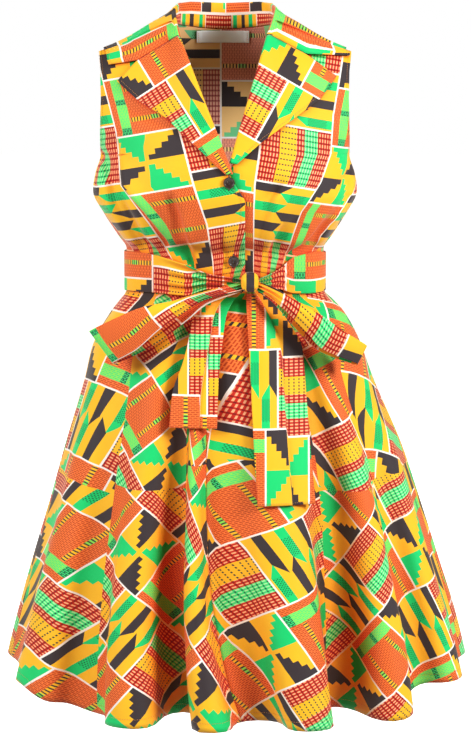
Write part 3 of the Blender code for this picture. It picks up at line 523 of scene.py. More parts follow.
def orangeBlock(sums, s, t, u, v):
    # Fine staggered dashes, one green band along the block and two rows of yellow squares
    column = sums.over(u, dashed["column"])
    run = sums.part(sums.plus(sums.over(v, dashed["row"]), sums.times(sums.odd(column), 0.5)))
    dash = sums.times(sums.below(sums.part(column), dashed["wide"]), sums.below(run, dashed["tall"]))
    colour = sums.paint(dash, linear("orange"), linear("ember"))
    row = sums.either(*[sums.between(t, *limits) for limits in dashed["squareRows"]])
    squares = sums.times(row, sums.above(s, dashed["squaresFrom"]))
    middle = sums.choose(sums.above(t, 0.5), *dashed["limeFrom"])
    lime = sums.between(sums.minus(s, middle), 0.0, dashed["limeWide"])
    squareColour = sums.paint(lime, linear("yellow"), linear("lime"))
    stroke = sums.below(sums.part(sums.over(u, dashed["stroke"])), dashed["strokeWide"])
    colour = sums.paint(squares, colour, sums.paint(stroke, squareColour, linear("charcoal")))
    bandDash = sums.paint(dash, sums.bands(t, dashed["bandStops"]), linear("mint"))
    return sums.paint(sums.between(s, *dashed["band"]), colour, bandDash)


def waxPrint(sums, u, v):
    # Two columns in turn, each of two blocks in turn, with pale lines between
    across = sums.over(u, wax["column"])
    s, second = sums.part(across), sums.odd(across)
    along = sums.minus(sums.over(v, wax["block"]), sums.times(second, wax["shift"]))
    t, upper = sums.rest(sums.part(along)), sums.odd(along)
    first = sums.paint(upper, orangeBlock(sums, s, t, u, v), stairBlock(sums, s, t))
    other = sums.paint(upper, chevronBlock(sums, s, t, u, v), bandedBlock(sums, s, u, v))
    colour = sums.paint(second, first, other)
    line = sums.either(*[sums.below(sums.run("PINGPONG", place, 0.5), wax["line"] / wax[size] / 2)
                         for place, size in ((across, "column"), (along, "block"))])
    return sums.paint(line, colour, linear("white"))


cotton = {
    "look": {
        "Roughness": 0.66,
        "Sheen Weight": 0.3,
        "Sheen Roughness": 0.4,
        "Specular IOR Level": 0.25,
    },
    "mottle": {"Scale": 26},
    "fade": 0.05,
    "thread": 0.0007,
    "weave": 0.12,
    "weaveRise": 0.0003,
    # reach, threshold, gain, rounding and samples of the painted fold shade
    "shadeReach": 0.16,
    "shadeFrom": 0.1,
    "shadeGain": 2.6,
    "shadeRound": 0.1,
    "shadeSamples": 6,
    # each side's tint is the colour of its painted fold shade
    "face": {"saturation": 1.0, "value": 1.0, "shadeTint": (0.86, 0.36, 0.1, 1)},
    # the reverse: a duller back of the cloth, and also painted shade, darker and greyer for the shade inside
    # the dress
    "reverse": {"saturation": 0.76, "value": 0.86, "shadeTint": (0.84, 0.52, 0.3, 1)},
}


def paintFoldShade(sums, colour, shadeColour):
    # Painted shade: where ambient occlusion finds folds and recesses, the colour is multiplied by a deep
    # warm tint
    hidden = sums.add("AmbientOcclusion", {"Distance": cotton["shadeReach"]}, samples=cotton["shadeSamples"])
    depth = sums.rest(hidden.outputs["AO"])
    beyond = sums.either(sums.minus(depth, cotton["shadeFrom"]), 0.0)
    shadeAmount = sums.run("SMOOTH_MIN", sums.times(beyond, cotton["shadeGain"]), 1.0, cotton["shadeRound"])
    return sums.paint(shadeAmount, colour, shadeColour, "MULTIPLY")


def makeCotton(name, side):
    finish, sums, inputs = newFinish(name, cotton["look"])
    u, v = sums.printPlace()
    fade = sums.times(sums.noise("TexNoise", cotton["mottle"]), 2 * cotton["fade"])
    tone = sums.add("HueSaturation", {
        # print colour with painted shade in the folds
        "Color": paintFoldShade(sums, waxPrint(sums, u, v), side["shadeTint"]),
        "Saturation": side["saturation"],
        "Value": sums.plus(fade, side["value"] - cotton["fade"]),
    })
    turn = 2 * math.pi / cotton["thread"]
    weave = sums.times(sums.run("SINE", sums.times(u, turn)), sums.run("SINE", sums.times(v, turn)))
    sums.put(inputs["Base Color"], tone.outputs[0])
    sums.put(inputs["Normal"], sums.bump(weave, cotton["weave"], cotton["weaveRise"]))
    return finish


cottonFinish = makeCotton("wax_print_cotton", cotton["face"])
reverseShadedFinish = makeCotton("wax_print_reverse_shaded", cotton["reverse"])
print("print drawn")


# cloth from rows of points

laid = {}


def addPiece(name, points, faces, finish):
    mesh = bpy.data.meshes.new(name)
    mesh.from_pydata(points.reshape(-1, 3).tolist(), [], faces)
    mesh.materials.append(finish)
    mesh.shade_smooth()
    piece = bpy.data.objects.new(name, mesh)
    bpy.context.scene.collection.objects.link(piece)
    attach(piece, "root")
    return piece


def clothPiece(name, grid, charts, node, wall=0.0011, flip=False, which=0, single=False):
    # Which tells each face's chart, where the print has more than one.
    # Single cloth shows its reverse inside, a duller back darkened with painted shade, and doubled cloth
    # doesn't.
    rows, columns = grid.shape[:2]
    number = np.arange(rows * columns).reshape(rows, columns)
    corners = [number[:-1, :-1], number[:-1, 1:], number[1:, 1:], number[1:, :-1]]
    corners = np.stack(corners, axis=-1).reshape(-1, 4)
    if flip:
        corners = corners[:, ::-1]
    which = np.broadcast_to(which, (rows - 1, columns - 1)).reshape(-1, 1)
    piece = addPiece(name, grid, corners.tolist(), cottonFinish)
    flat = charts.reshape(-1, rows * columns, 2)[which, corners]
    piece.data.uv_layers.new(name="print").data.foreach_set("uv", flat.astype(np.float32).ravel())
    thick = piece.modifiers.new("wall", "SOLIDIFY")
    thick.thickness = wall
    thick.offset = -1
    thick.use_even_offset = False
    if single:
        piece.data.materials.append(reverseShadedFinish)
        thick.material_offset = 1
    if node:
        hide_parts(node)
    laid[name] = (grid, -1 if flip else 1)
    return piece


def runLength(grid, axis):
    # Distance along the rows or columns of a grid, from its first place
    gaps = np.linalg.norm(np.diff(grid, axis=axis), axis=-1)
    start = np.zeros_like(np.take(gaps, [0], axis=axis))
    return np.cumsum(np.concatenate([start, gaps], axis=axis), axis=axis)


def runChart(grid):
    return np.stack([runLength(grid, 1), runLength(grid, 0)], axis=-1)


def declareSheet(piece, grid, chart):
    # The cut before it was worn: its laid-out width, length and area
    spread = chart.reshape(-1, 2).max(axis=0) - chart.reshape(-1, 2).min(axis=0)
    area = min(gridArea(grid), float(spread[0] * spread[1]))
    print(piece.name, "cut", round(float(spread[0]), 3), round(float(spread[1]), 3), round(area, 4))


def gridArea(grid):
    one = np.cross(grid[1:, :-1] - grid[:-1, :-1], grid[:-1, 1:] - grid[:-1, :-1])
    two = np.cross(grid[:-1, 1:] - grid[1:, 1:], grid[1:, :-1] - grid[1:, 1:])
    return float(np.linalg.norm(one, axis=-1).sum() + np.linalg.norm(two, axis=-1).sum()) / 2


# bodice

bodice = {
    "rows": 120,
    "columns": 130,
    "tipLevel": float(crest(body["centre"] + body["tipHalf"])),
    "backNeck": 0.0108,
    "rightEdgeZ": [-0.3525, -0.232, -0.2, -0.004, 0.018],
    "rightEdgeX": [0.028, 0.0276, 0.0076, -0.069, -0.077],
    "leftEdgeZ": [-0.3525, -0.22, -0.188, -0.002, 0.018],
    "leftEdgeX": [-0.018, -0.018, 0.0076, 0.0625, 0.074],
    "underlap": 0.003,
    "underAcross": (0.064, 0.042),
    "underUp": (-0.11, -0.16),
    "backColumns": (50, 90),
    "rightFolds": [
        (-0.165, -0.165, -0.096, -0.305, 0.014, 0.006),
        (-0.188, -0.215, -0.12, -0.312, 0.011, 0.004),
        (-0.06, -0.255, -0.054, -0.33, 0.01, 0.006),
        (-0.022, -0.27, -0.024, -0.34, 0.009, 0.004),
        (-0.1, -0.24, -0.078, -0.32, 0.01, -0.004),
    ],
    "leftFolds": [
        (0.072, -0.215, 0.036, -0.318, 0.013, 0.006),
        (0.17, -0.245, 0.085, -0.315, 0.013, 0.006),
        (0.12, -0.235, 0.062, -0.318, 0.01, -0.004),
        (0.186, -0.205, 0.128, -0.312, 0.01, 0.004),
    ],
    "backFolds": [
        (-0.13, -0.225, -0.09, -0.33, 0.013, 0.005),
        (-0.07, -0.245, -0.052, -0.335, 0.011, 0.005),
        (-0.018, -0.255, -0.014, -0.335, 0.01, 0.004),
        (0.034, -0.24, 0.026, -0.335, 0.011, 0.005),
        (0.085, -0.25, 0.064, -0.33, 0.012, 0.004),
        (0.14, -0.215, 0.104, -0.325, 0.013, 0.005),
    ],
    "rightCreases": [
        ([(-0.1186, -0.31), (-0.1606, -0.2436), (-0.1835, -0.1701)], 0.013, -0.0085, -1),
        ([(-0.0865, -0.301), (-0.1218, -0.2494), (-0.1533, -0.2148), (-0.1605, -0.1495)], 0.013, -0.0085, 1),
        ([(-0.109, -0.313), (-0.1325, -0.2804), (-0.1543, -0.2364)], 0.01, -0.005, -1),
        ([(-0.0455, -0.333), (-0.062, -0.279), (-0.0785, -0.2279)], 0.014, -0.0095, 1),
        ([(0.004, -0.33), (-0.006, -0.285)], 0.007, -0.003, 1),
        ([(-0.09, -0.125), (-0.15, -0.095)], 0.01, -0.003, 1),
    ],
    "leftCreases": [
        ([(0.0282, -0.3358), (0.0471, -0.2846), (0.0574, -0.2564), (0.0659, -0.2273), (0.08, -0.2102)],
         0.014, -0.01, 1),
        ([(0.087, -0.318), (0.1105, -0.3), (0.1284, -0.285), (0.1474, -0.2625)], 0.011, -0.007, -1),
        ([(0.128, -0.3), (0.1493, -0.2647), (0.1772, -0.2326), (0.18, -0.195)], 0.011, -0.007, 1),
        ([(0.056, -0.33), (0.083, -0.27)], 0.01, -0.005, -1),
    ],
    "backCreases": [
        ([(-0.105, -0.32), (-0.138, -0.25), (-0.165, -0.19)], 0.011, -0.0045, 1),
        ([(-0.062, -0.325), (-0.07, -0.26)], 0.01, -0.004, -1),
        ([(-0.018, -0.328), (-0.014, -0.25)], 0.011, -0.0042, 1),
        ([(0.033, -0.326), (0.042, -0.255)], 0.01, -0.0036, 1),
        ([(0.088, -0.32), (0.116, -0.245)], 0.011, -0.0045, -1),
        ([(0.124, -0.308), (0.16, -0.23), (0.174, -0.19)], 0.01, -0.0042, 1),
    ],
}


def sideOf(hand):
    return "right" if hand < 0 else "left"


def frontEdge(hand, z):
    return np.interp(z, bodice[sideOf(hand) + "EdgeZ"], bodice[sideOf(hand) + "EdgeX"])


def frontRise(x, z, hand):
    large = foldRise(bodice[sideOf(hand) + "Folds"], x, z) * aboveWaist(fold["aboveWaist"], z)
    small = creaseRise(bodice[sideOf(hand) + "Creases"], x, z) * aboveWaist(fold["creaseAboveWaist"], z)
    rise = large + small
    if hand < 0:
        return rise
    under = smoothStep(*bodice["underAcross"], x) * smoothStep(*bodice["underUp"], z)
    return rise * (1 - under) - bodice["underlap"] * under


def frontPoint(x, z, hand, rise=0.0):
    return onBodice(x, z, -1, rise + frontRise(x, z, hand))


def bodiceLevels():
    half, low, top = bodice["rows"] // 2, body["underarm"], bodice["tipLevel"]
    below = np.linspace(body["waist"] + body["seamGap"] / 2, low, half, endpoint=False)
    above = np.linspace(low, top, half)
    climb = np.maximum(above - low, 0) / (top - low)
    return np.concatenate([below, above])[:, None], np.concatenate([0 * below, climb ** 2])[:, None]


def edgeAngle(z, side, inward):
    armhole = angleOf(body["centre"] + np.interp(z, body["armholeZ"], body["armholeX"]) - inward, z)
    seam = np.arccos((inward / depthAt(z, side)) ** (body["roundness"] / 2))
    return np.where(z > body["underarm"], armhole, seam)


def risingPoint(angle, zSide, climb, side, top):
    z = zSide + 0 * angle
    for _ in range(8):
        x = bodiceAt(angle, z, side)[..., 0]
        z = zSide + (top(x) - bodice["tipLevel"]) * climb
    return x, z


def endLevel(hand, zSide, climb):
    z = zSide
    for _ in range(20):
        z = zSide + (crest(frontEdge(hand, z)) - bodice["tipLevel"]) * climb
    return np.minimum(z, body["shoulderTop"])


def sideEdge(z, side, hand):
    # Seam or armhole edge of a panel
    inner = bodiceAt(hand * edgeAngle(z, side, body["seamStrip"]), z, side)
    other = bodiceAt(hand * edgeAngle(z, -side, body["seamStrip"]), z, -side)
    seam = (inner + other) / 2 + unit(inner - other) * body["seamGap"] / 2
    armhole = bodiceAt(hand * edgeAngle(z, side, 0.0), z, side)
    return np.where((z > body["underarm"])[..., None], armhole, seam)


def addShoulderStrip(grid, side):
    strip = grid[-1:].copy()
    strip[..., 1] = side * body["seamGap"] / 2
    return np.concatenate([grid, strip])


def frontGrid(hand):
    zSide, climb = bodiceLevels()
    zEnd = endLevel(hand, zSide, climb)
    start = hand * edgeAngle(zSide, -1, body["seamStrip"])
    end = angleOf(frontEdge(hand, zEnd), zEnd)
    share = np.linspace(0, 1, bodice["columns"])[None, :]
    x, z = risingPoint(start + (end - start) * share, zSide, climb, -1, crest)
    inner = frontPoint(x, z, hand)
    grid = np.concatenate([sideEdge(zSide, -1, hand), inner], axis=1)
    return addShoulderStrip(grid, -1)


def backTop(x):
    across = np.abs(x - body["centre"]) / body["neckHalf"]
    dip = bodice["backNeck"] + (body["shoulderTop"] - bodice["backNeck"]) * across ** 2
    return np.where(across >= 1, crest(x), dip)


def backGrid():
    zSide, climb = bodiceLevels()
    reach = edgeAngle(zSide, 1, body["seamStrip"])
    neck = float(angleOf(body["centre"] + body["neckHalf"], body["shoulderTop"])
                 / edgeAngle(np.array(bodice["tipLevel"]), 1, body["seamStrip"]))
    outer, middle = bodice["backColumns"]
    shares = np.concatenate([np.linspace(-1, -neck, outer), np.linspace(-neck, neck, middle)[1:],
                             np.linspace(neck, 1, outer)[1:]])[None, :]
    x, z = risingPoint(reach * shares, zSide, climb, 1, backTop)
    rise = foldRise(bodice["backFolds"], x, z) + creaseRise(bodice["backCreases"], x, z)
    inner = onBodice(x, z, 1, rise * aboveWaist(fold["aboveWaist"], z))
    grid = np.concatenate([sideEdge(zSide, 1, -1), inner, sideEdge(zSide, 1, 1)], axis=1)
    grid = addShoulderStrip(grid, 1)
    across = np.abs(grid[-1, :, 0] - body["centre"]) < body["neckHalf"] - body["seamStrip"]
    grid[-1, across] = grid[-2, across]
    grid[-2, across] = onBodice(grid[-1, across, 0], grid[-1, across, 2] - body["seamStrip"] / 2, 1, 0.0)
    return grid


# Where the print's upright lines cross each front, seen from the front
frontPrint = {
    "rightZ": [-0.3525, -0.319, -0.267, -0.213, -0.133, 0.02],
    "rightNear": [-0.0165, -0.019, -0.0266, -0.0448, -0.0662, -0.105],
    "rightFar": [-0.06, -0.078, -0.111, -0.1515, -0.158, -0.19],
    "leftZ": [-0.3525, -0.311, -0.251, -0.209, -0.169, -0.106, 0.02],
    "leftNear": [0.04, 0.04, 0.04, 0.0415, 0.0475, 0.054, 0.066],
    "leftFar": [0.076, 0.0868, 0.108, 0.136, 0.1515, 0.1545, 0.172],
    "rightAnchor": (-0.0438, -0.2099),
    "leftAnchor": (0.0398, -0.2213),
    "tall": 1.04,
    "drop": 0.19,
}

backPrint = {"lineX": -0.0081, "levelZ": -0.0668, "tall": 1.02}


def frontChart(grid, hand):
    side = sideOf(hand)
    x, z = grid[..., 0], grid[..., 2]
    across = runLength(grid[:, ::-1], 1)[:, ::-1] * hand
    near = np.interp(z[:, -1], frontPrint[side + "Z"], frontPrint[side + "Near"])
    far = np.interp(z[:, -1], frontPrint[side + "Z"], frontPrint[side + "Far"])
    chart = np.zeros((*x.shape, 2))
    for row in range(len(x)):
        order = np.argsort(x[row])
        nearRun = np.interp(near[row], x[row][order], across[row][order])
        farRun = np.interp(far[row], x[row][order], across[row][order])
        chart[row, :, 0] = wax["column"] * (1 + (across[row] - nearRun) / abs(farRun - nearRun))
    anchorX, anchorZ = frontPrint[side + "Anchor"]
    fall = np.abs(x - anchorX) * np.where((x - anchorX) * hand > 0, 1, -1)
    chart[..., 1] = wax["block"] + (z - anchorZ) * frontPrint["tall"] + fall * frontPrint["drop"]
    return chart


def makeBodice():
    for hand in (-1, 1):
        name = "bodice_front_" + sideOf(hand)
        grid = frontGrid(hand)
        chart = frontChart(grid, hand)
        piece = clothPiece("cloth_" + name, grid, chart, name, flip=hand > 0, single=True)
        flat = np.stack([runLength(grid, 1), chart[..., 1]], axis=-1)
        declareSheet(piece, grid, flat)
    grid = backGrid()
    run = runLength(grid, 1)
    middle = grid.shape[1] // 2
    across = run - run[:, middle:middle + 1]
    chart = np.stack([wax["column"] - across + backPrint["lineX"],
                      wax["block"] * 2 + (grid[..., 2] - backPrint["levelZ"]) * backPrint["tall"]], axis=-1)
    piece = clothPiece("cloth_bodice_back", grid, chart, "bodice_back", flip=True, single=True)
    declareSheet(piece, grid, chart)


makeBodice()
print("bodice cut")


# skirt

skirt = {
    "z": [-0.98, -0.936, -0.873, -0.79, -0.694, -0.616, -0.51, -0.453, -0.408, -0.386, -0.375, -0.3525],
    "half": [0.366, 0.3558, 0.3395, 0.314, 0.2833, 0.2587, 0.219, 0.2006, 0.1755, 0.157, 0.147, 0.1465],
    "centre": [0.0155, 0.0155, 0.0155, 0.014, 0.013, 0.011, 0.0043, 0.0013, 0.002, 0.0005,
               -0.0015, -0.0015],
    "front": [0.262, 0.256, 0.243, 0.225, 0.203, 0.186, 0.16, 0.143, 0.127, 0.113, 0.1055, 0.105],
    "back": [0.262, 0.256, 0.246, 0.23, 0.212, 0.196, 0.17, 0.15, 0.126, 0.103, 0.0955, 0.095],
    "place": [-100, -79, -56, -38, -22, -12.5, -5, 4, 15, 27, 38, 51, 64, 81, 99, 115, 130, 143,
              156, 168, 180, 193, 206, 219, 232, 246, 260],
    "lean": [0, 0, -1, -4, -5, -3, -6, -10, -3, 5, 4, 2, 1, 0, 0, 0, 0, 0, 0, 0, 0, 0, 0, 0, 0, 0, 0],
    "rise": [0.000, -0.025, 0.008, -0.04, 0.012, -0.08, 0.014, -0.045, 0.014, -0.092, 0.008, -0.04, 0.004,
             -0.025, 0.000, -0.045, 0.005, -0.06, 0.008, -0.052, 0.01, -0.06, 0.006, -0.048, 0.006, -0.04,
             0.000],
    "overhang": 1.15,
    "overhangDepth": 0.08,
    "growth": 1.35,
    "leanFrom": 0.4,
    "seams": {"skirt_front_right": (-90, 2), "skirt_front_left": (2, 90), "skirt_back": (90, 270)},
    "seamDegrees": 0.7,
    "rows": 84,
    "everyDegree": 1.4,
    "hemSide": -0.938,
    "hemFrontDrop": 0.033,
    "hemBackDrop": 0.017,
    "hemFront": (0.5, 0.82),
    "hemBack": (-0.2, -0.8),
    "waistRadius": 0.19,
}


def fluteAt(place, down):
    places, leans, rises = (np.array(skirt[key], float) for key in ("place", "lean", "rise"))
    place = places[0] + (place - places[0]) % 360
    low = np.clip(np.searchsorted(places, place, side="left") - 1, 0, len(places) - 2)
    span = places[low + 1] - places[low]
    phase = (place - places[low]) / span
    growth = down ** skirt["growth"]
    wave = (1 - np.cos(np.pi * phase)) / 2
    step = rises[low + 1] - rises[low]
    rise = (rises[low] + step * wave) * growth
    steep = np.minimum(1, np.abs(step) / skirt["overhangDepth"]) * growth
    shift = skirt["overhang"] * span * np.sin(2 * np.pi * phase) / (2 * np.pi) * steep
    upper = np.minimum(1, (1 - down) / (1 - skirt["leanFrom"]))
    lean = (leans[low] + (leans[low + 1] - leans[low]) * phase) * upper * (2 - upper)
    return place + shift + lean, rise


def hemLevel(degrees):
    forward = np.cos(np.radians(degrees))
    front, back = (smoothStep(*skirt[key], forward) for key in ("hemFront", "hemBack"))
    return skirt["hemSide"] - skirt["hemFrontDrop"] * front - skirt["hemBackDrop"] * back


def skirtSizes(z):
    return [readCurve(skirt["z"], skirt[key], z) for key in ("half", "centre", "front", "back")]


def skirtPoint(place, down):
    degrees, rise = fluteAt(place, down)
    angle = np.radians(degrees)
    top = body["waist"] - body["seamGap"] / 2
    z = top + (hemLevel(degrees) - top) * down
    half, centre, front, back = skirtSizes(z)
    depth = np.where(np.cos(angle) > 0, front, back)
    return stack(centre + half * rounded(np.sin(angle)) + rise * np.sin(angle),
                 -depth * rounded(np.cos(angle)) - rise * np.cos(angle), z)


def skirtGrid(start, end):
    gap = skirt["seamDegrees"]
    count = int((end - start) / skirt["everyDegree"])
    places = np.linspace(start + gap, end - gap, count)[None, :]
    down = np.linspace(1, 0, skirt["rows"])[:, None]
    inner = skirtPoint(places, down)
    edges = []
    for place, near in ((start - gap, inner[:, :1]), (end + gap, inner[:, -1:])):
        across = skirtPoint(np.array([[place]]), down)
        edges.append((near + across) / 2 + unit(near - across) * body["seamGap"] / 2)
    return np.concatenate([edges[0], inner, edges[1]], axis=1)


# The print changes along joins hidden beside the folds, and once on the way down.
# Each part: from place, to place, level of the join, chart above it, chart below it.
# A chart is a turn (four numbers) and a shift (two) of the panel laid flat.
skirtPrint = {
    "skirt_front_right": [
        (-90, -37, 0.487,
         (-0.163, 0.964, -0.784, 0.097, 0.35, 0.166),
         (-0.1, 0.983, -0.748, 0.481, 0.643, 0.418)),
        (-37, -12, 0.467,
         (0.382, 1.022, -0.932, 0.462, 0.359, 0.357),
         (0.099, 1.056, -0.967, 0.309, 0.568, 0.372)),
        (-12, 2, 0.407,
         (-0.929, 0.369, -0.369, -0.929, 0.42, -0.097),
         (0.16, 0.95, -0.895, 0.219, 0.298, 0.388)),
    ],
    "skirt_front_left": [
        (2, 26, 0.39,
         (0.974, -0.247, 0.249, 0.974, -0.002, 0.488),
         (0.615, -0.95, 0.873, 0.627, -0.451, 0.341)),
        (26, 50, 0.472,
         (0.583, -0.744, 0.587, 0.696, -0.266, 0.142),
         (1.016, -0.517, 0.337, 1.03, -0.396, 0.44)),
        (50, 90, 0.477,
         (0.258, -0.922, 0.922, 0.167, -0.198, -0.103),
         (0.867, -0.612, 0.615, 0.839, -0.358, 0.295)),
    ],
    "skirt_back": [
        (90, 117, 0.48,
         (0.122, -0.993, 0.993, 0.122, 0.04, 0.01),
         (0.309, -0.951, 0.951, 0.309, 0.07, 0.052)),
        (117, 166, 0.47,
         (0.469, -0.883, 0.883, 0.469, 0.02, 0.06),
         (0.276, -0.961, 0.961, 0.276, 0.09, -0.02)),
        (166, 195, 0.45,
         (0.602, -0.799, 0.799, 0.602, 0.075, 0.03),
         (0.777, -0.629, 0.629, 0.777, 0.01, 0.047)),
        (195, 244, 0.47,
         (-0.743, 0.669, -0.669, -0.743, 0.05, 0.08),
         (-0.946, 0.326, -0.326, -0.946, 0.1, 0.02)),
        (244, 270, 0.483,
         (-0.946, 0.326, -0.326, -0.946, 0.03, 0.04),
         (-0.99, 0.139, -0.139, -0.99, 0.064, 0.07)),
    ],
}


def skirtLayout(grid):
    # The panel laid flat: rings about one centre
    out = skirt["waistRadius"] + runLength(grid[::-1], 0)[::-1].mean(axis=1)[:, None]
    turn = (runLength(grid, 1)[0] / out[0])[None, :]
    return np.stack(np.broadcast_arrays(out * np.sin(turn), -out * np.cos(turn)), axis=-1)


def skirtCharts(layout, name):
    # One chart for each part of the print, and which of them each face takes
    start, end = skirt["seams"][name]
    rows, columns = layout.shape[:2]
    place = np.linspace(start, end, columns - 1)[None, :]
    down = np.linspace(1, 0, rows)[1:, None]
    charts, which = [], np.zeros((rows - 1, columns - 1), int)
    for low, high, level, upper, lower in skirtPrint[name]:
        for values, within in ((upper, down < level), (lower, down >= level)):
            turn = np.array(values[:4]).reshape(2, 2)
            which[(place >= low) & (place <= high) & within] = len(charts)
            charts.append(layout @ turn.T + np.array(values[4:]))
    return np.array(charts), which


def makeSkirt():
    for name, (start, end) in skirt["seams"].items():
        grid = skirtGrid(start, end)
        layout = skirtLayout(grid)
        charts, which = skirtCharts(layout, name)
        piece = clothPiece("cloth_" + name, grid, charts, name, which=which, single=True)
        declareSheet(piece, grid, layout)


makeSkirt()
print("skirt cut")


# lapels and collar, turned out over the fronts

turned = {
    "wall": 0.0018,
    "riseRoll": 0.0052,
    "riseEdge": 0.0044,
    "lead": 0.0015,
    "lap": 0.0005,
    "rollStep": 0.004,
    "insideWall": 0.0016,
    "turnSteps": 10,
    "fallColumns": 26,
    "rows": 64,
    "gorgeGap": 0.0005,
    "rightOuter": ([-0.195, -0.17, -0.139, -0.1175, -0.093, -0.0663],
                   [-0.001, -0.028, -0.061, -0.084, -0.1245, -0.1555]),
    "leftOuter": ([-0.181, -0.15, -0.115, -0.09, -0.0592],
                  [0.016, 0.0516, 0.1017, 0.1352, 0.1584]),
    "notch": {-1: (-0.1269, -0.0378), 1: (0.115, -0.029)},
    "gorge": {-1: (-0.069, -0.004), 1: (0.0625, -0.002)},
    "start": {-1: -0.196, 1: -0.18},
    "collarTip": {-1: (-0.168, -0.0436), 1: (0.179, -0.0307)},
}


def turnedRise(v):
    return turned["riseRoll"] + (turned["riseEdge"] - turned["riseRoll"]) * v


def rollDirection(hand, z):
    # Unit step in X and Z out of the panel, across its roll line
    step = turned["rollStep"]
    run = frontEdge(hand, z + step) - frontEdge(hand, z - step)
    along = unit(np.stack([run, 0 * z + 2 * step], axis=-1))
    return np.stack([-hand * along[..., 1], hand * along[..., 0]], axis=-1)


def gorgeBend(v, hand, tip):
    # How far the upper edge leaves the straight line to go by the notch
    first, corner = np.array(turned["gorge"][hand]), np.array(turned["notch"][hand])
    toNotch = np.linalg.norm(corner - first)
    split = toNotch / (toNotch + np.linalg.norm(tip - corner, axis=-1, keepdims=True))
    bent = np.where(v < split, first + (corner - first) * v / split,
                    corner + (tip - corner) * (v - split) / (1 - split))
    return bent - (first + (tip - first) * v)


def turnedRows(roll, tip, hand, bendShare):
    # From the roll edge, round the turn and out over the panel
    roll, tip = roll[:, None, :], tip[:, None, :]
    outward = rollDirection(hand, roll[..., 1])
    middle = (turned["riseRoll"] - turned["insideWall"]) / 2
    radius = (turned["riseRoll"] + turned["insideWall"]) / 2
    turn = np.linspace(-np.pi / 2, np.pi / 2, turned["turnSteps"] + 1)[None, :, None]
    flats = [roll + outward * turned["lap"], roll + outward * (turned["lead"] + radius * np.cos(turn))]
    rises = [np.full((1, 1), -turned["insideWall"]), middle + radius * np.sin(turn[..., 0])]
    v = np.linspace(0, 1, turned["fallColumns"] + 1)[None, 1:, None]
    flats.append(roll + (tip - roll) * v + gorgeBend(v, hand, tip) * bendShare[:, None, None])
    rises.append(turnedRise(v[..., 0]))
    flat = np.concatenate(flats, axis=1)
    rise = np.broadcast_to(np.concatenate(rises, axis=1), flat.shape[:2])
    return frontPoint(flat[..., 0], flat[..., 1], hand, rise)


def lapelGrid(hand):
    outerZ, outerX = turned[sideOf(hand) + "Outer"]
    z = np.linspace(turned["start"][hand], turned["gorge"][hand][1], turned["rows"])
    share = (z - z[0]) / (z[-1] - z[0])
    outZ = outerZ[0] + (outerZ[-1] - outerZ[0]) * share
    roll = np.stack([frontEdge(hand, z), z], axis=-1)
    tip = np.stack([np.interp(outZ, outerZ, outerX), outZ], axis=-1)
    grid = turnedRows(roll, tip, hand, share ** 3)
    grid[-1, :, 2] -= turned["gorgeGap"]
    return grid


collar = {
    "x": [0.0000, 0.028, 0.053, 0.07, 0.0755, 0.0752, 0.0735],
    "z": [0.0108, 0.0118, 0.0143, 0.017, 0.018, 0.0165, 0.011],
    "side": [1, 1, 1, 1, 1, -1, -1],
    "inward": [0.4, 0.4, 0.6, 0.9, 1.0, 1.0, 1.0],
    "up": [0.9, 0.9, 0.8, 0.4, 0.0, 0.0, -0.2],
    "stand": [0.038, 0.038, 0.036, 0.031, 0.024, 0.021, 0.015],
    "lean": [0.003, 0.003, 0.0025, 0.0015, 0.001, 0.001, 0.001],
    "edgeX": [0.000, 0.056, 0.106, 0.144, 0.167, 0.1765, 0.175],
    "edgeLevel": [-0.058, -0.057, -0.048, -0.027, -0.004, 0.018, 0.0135],
    "edgeSide": [1, 1, 1, 1, 1, -1, -1],
    "standWidth": 0.0052,
    "neckMiddle": 0.02,
    "neckGap": 0.0009,
    "stations": 60,
    "gorgeSteps": 14,
    "standPlaces": 4,
    "standShare": 0.6,
    "flatFrom": 0.25,
}


def neckInward(point):
    x, y = point[..., 0], point[..., 1]
    return unit(stack(body["centre"] - x, collar["neckMiddle"] - y, 0 * x))


def onChart(x, root, rise):
    # Place on the body by its distance over the shoulder, below nought in front
    return onBodice(x, heightAt(x, body["shoulderTop"] - root ** 2), np.where(root >= 0, 1, -1), rise)


def signedRoot(level, side):
    return side * np.sqrt(np.maximum(0, body["shoulderTop"] - level))


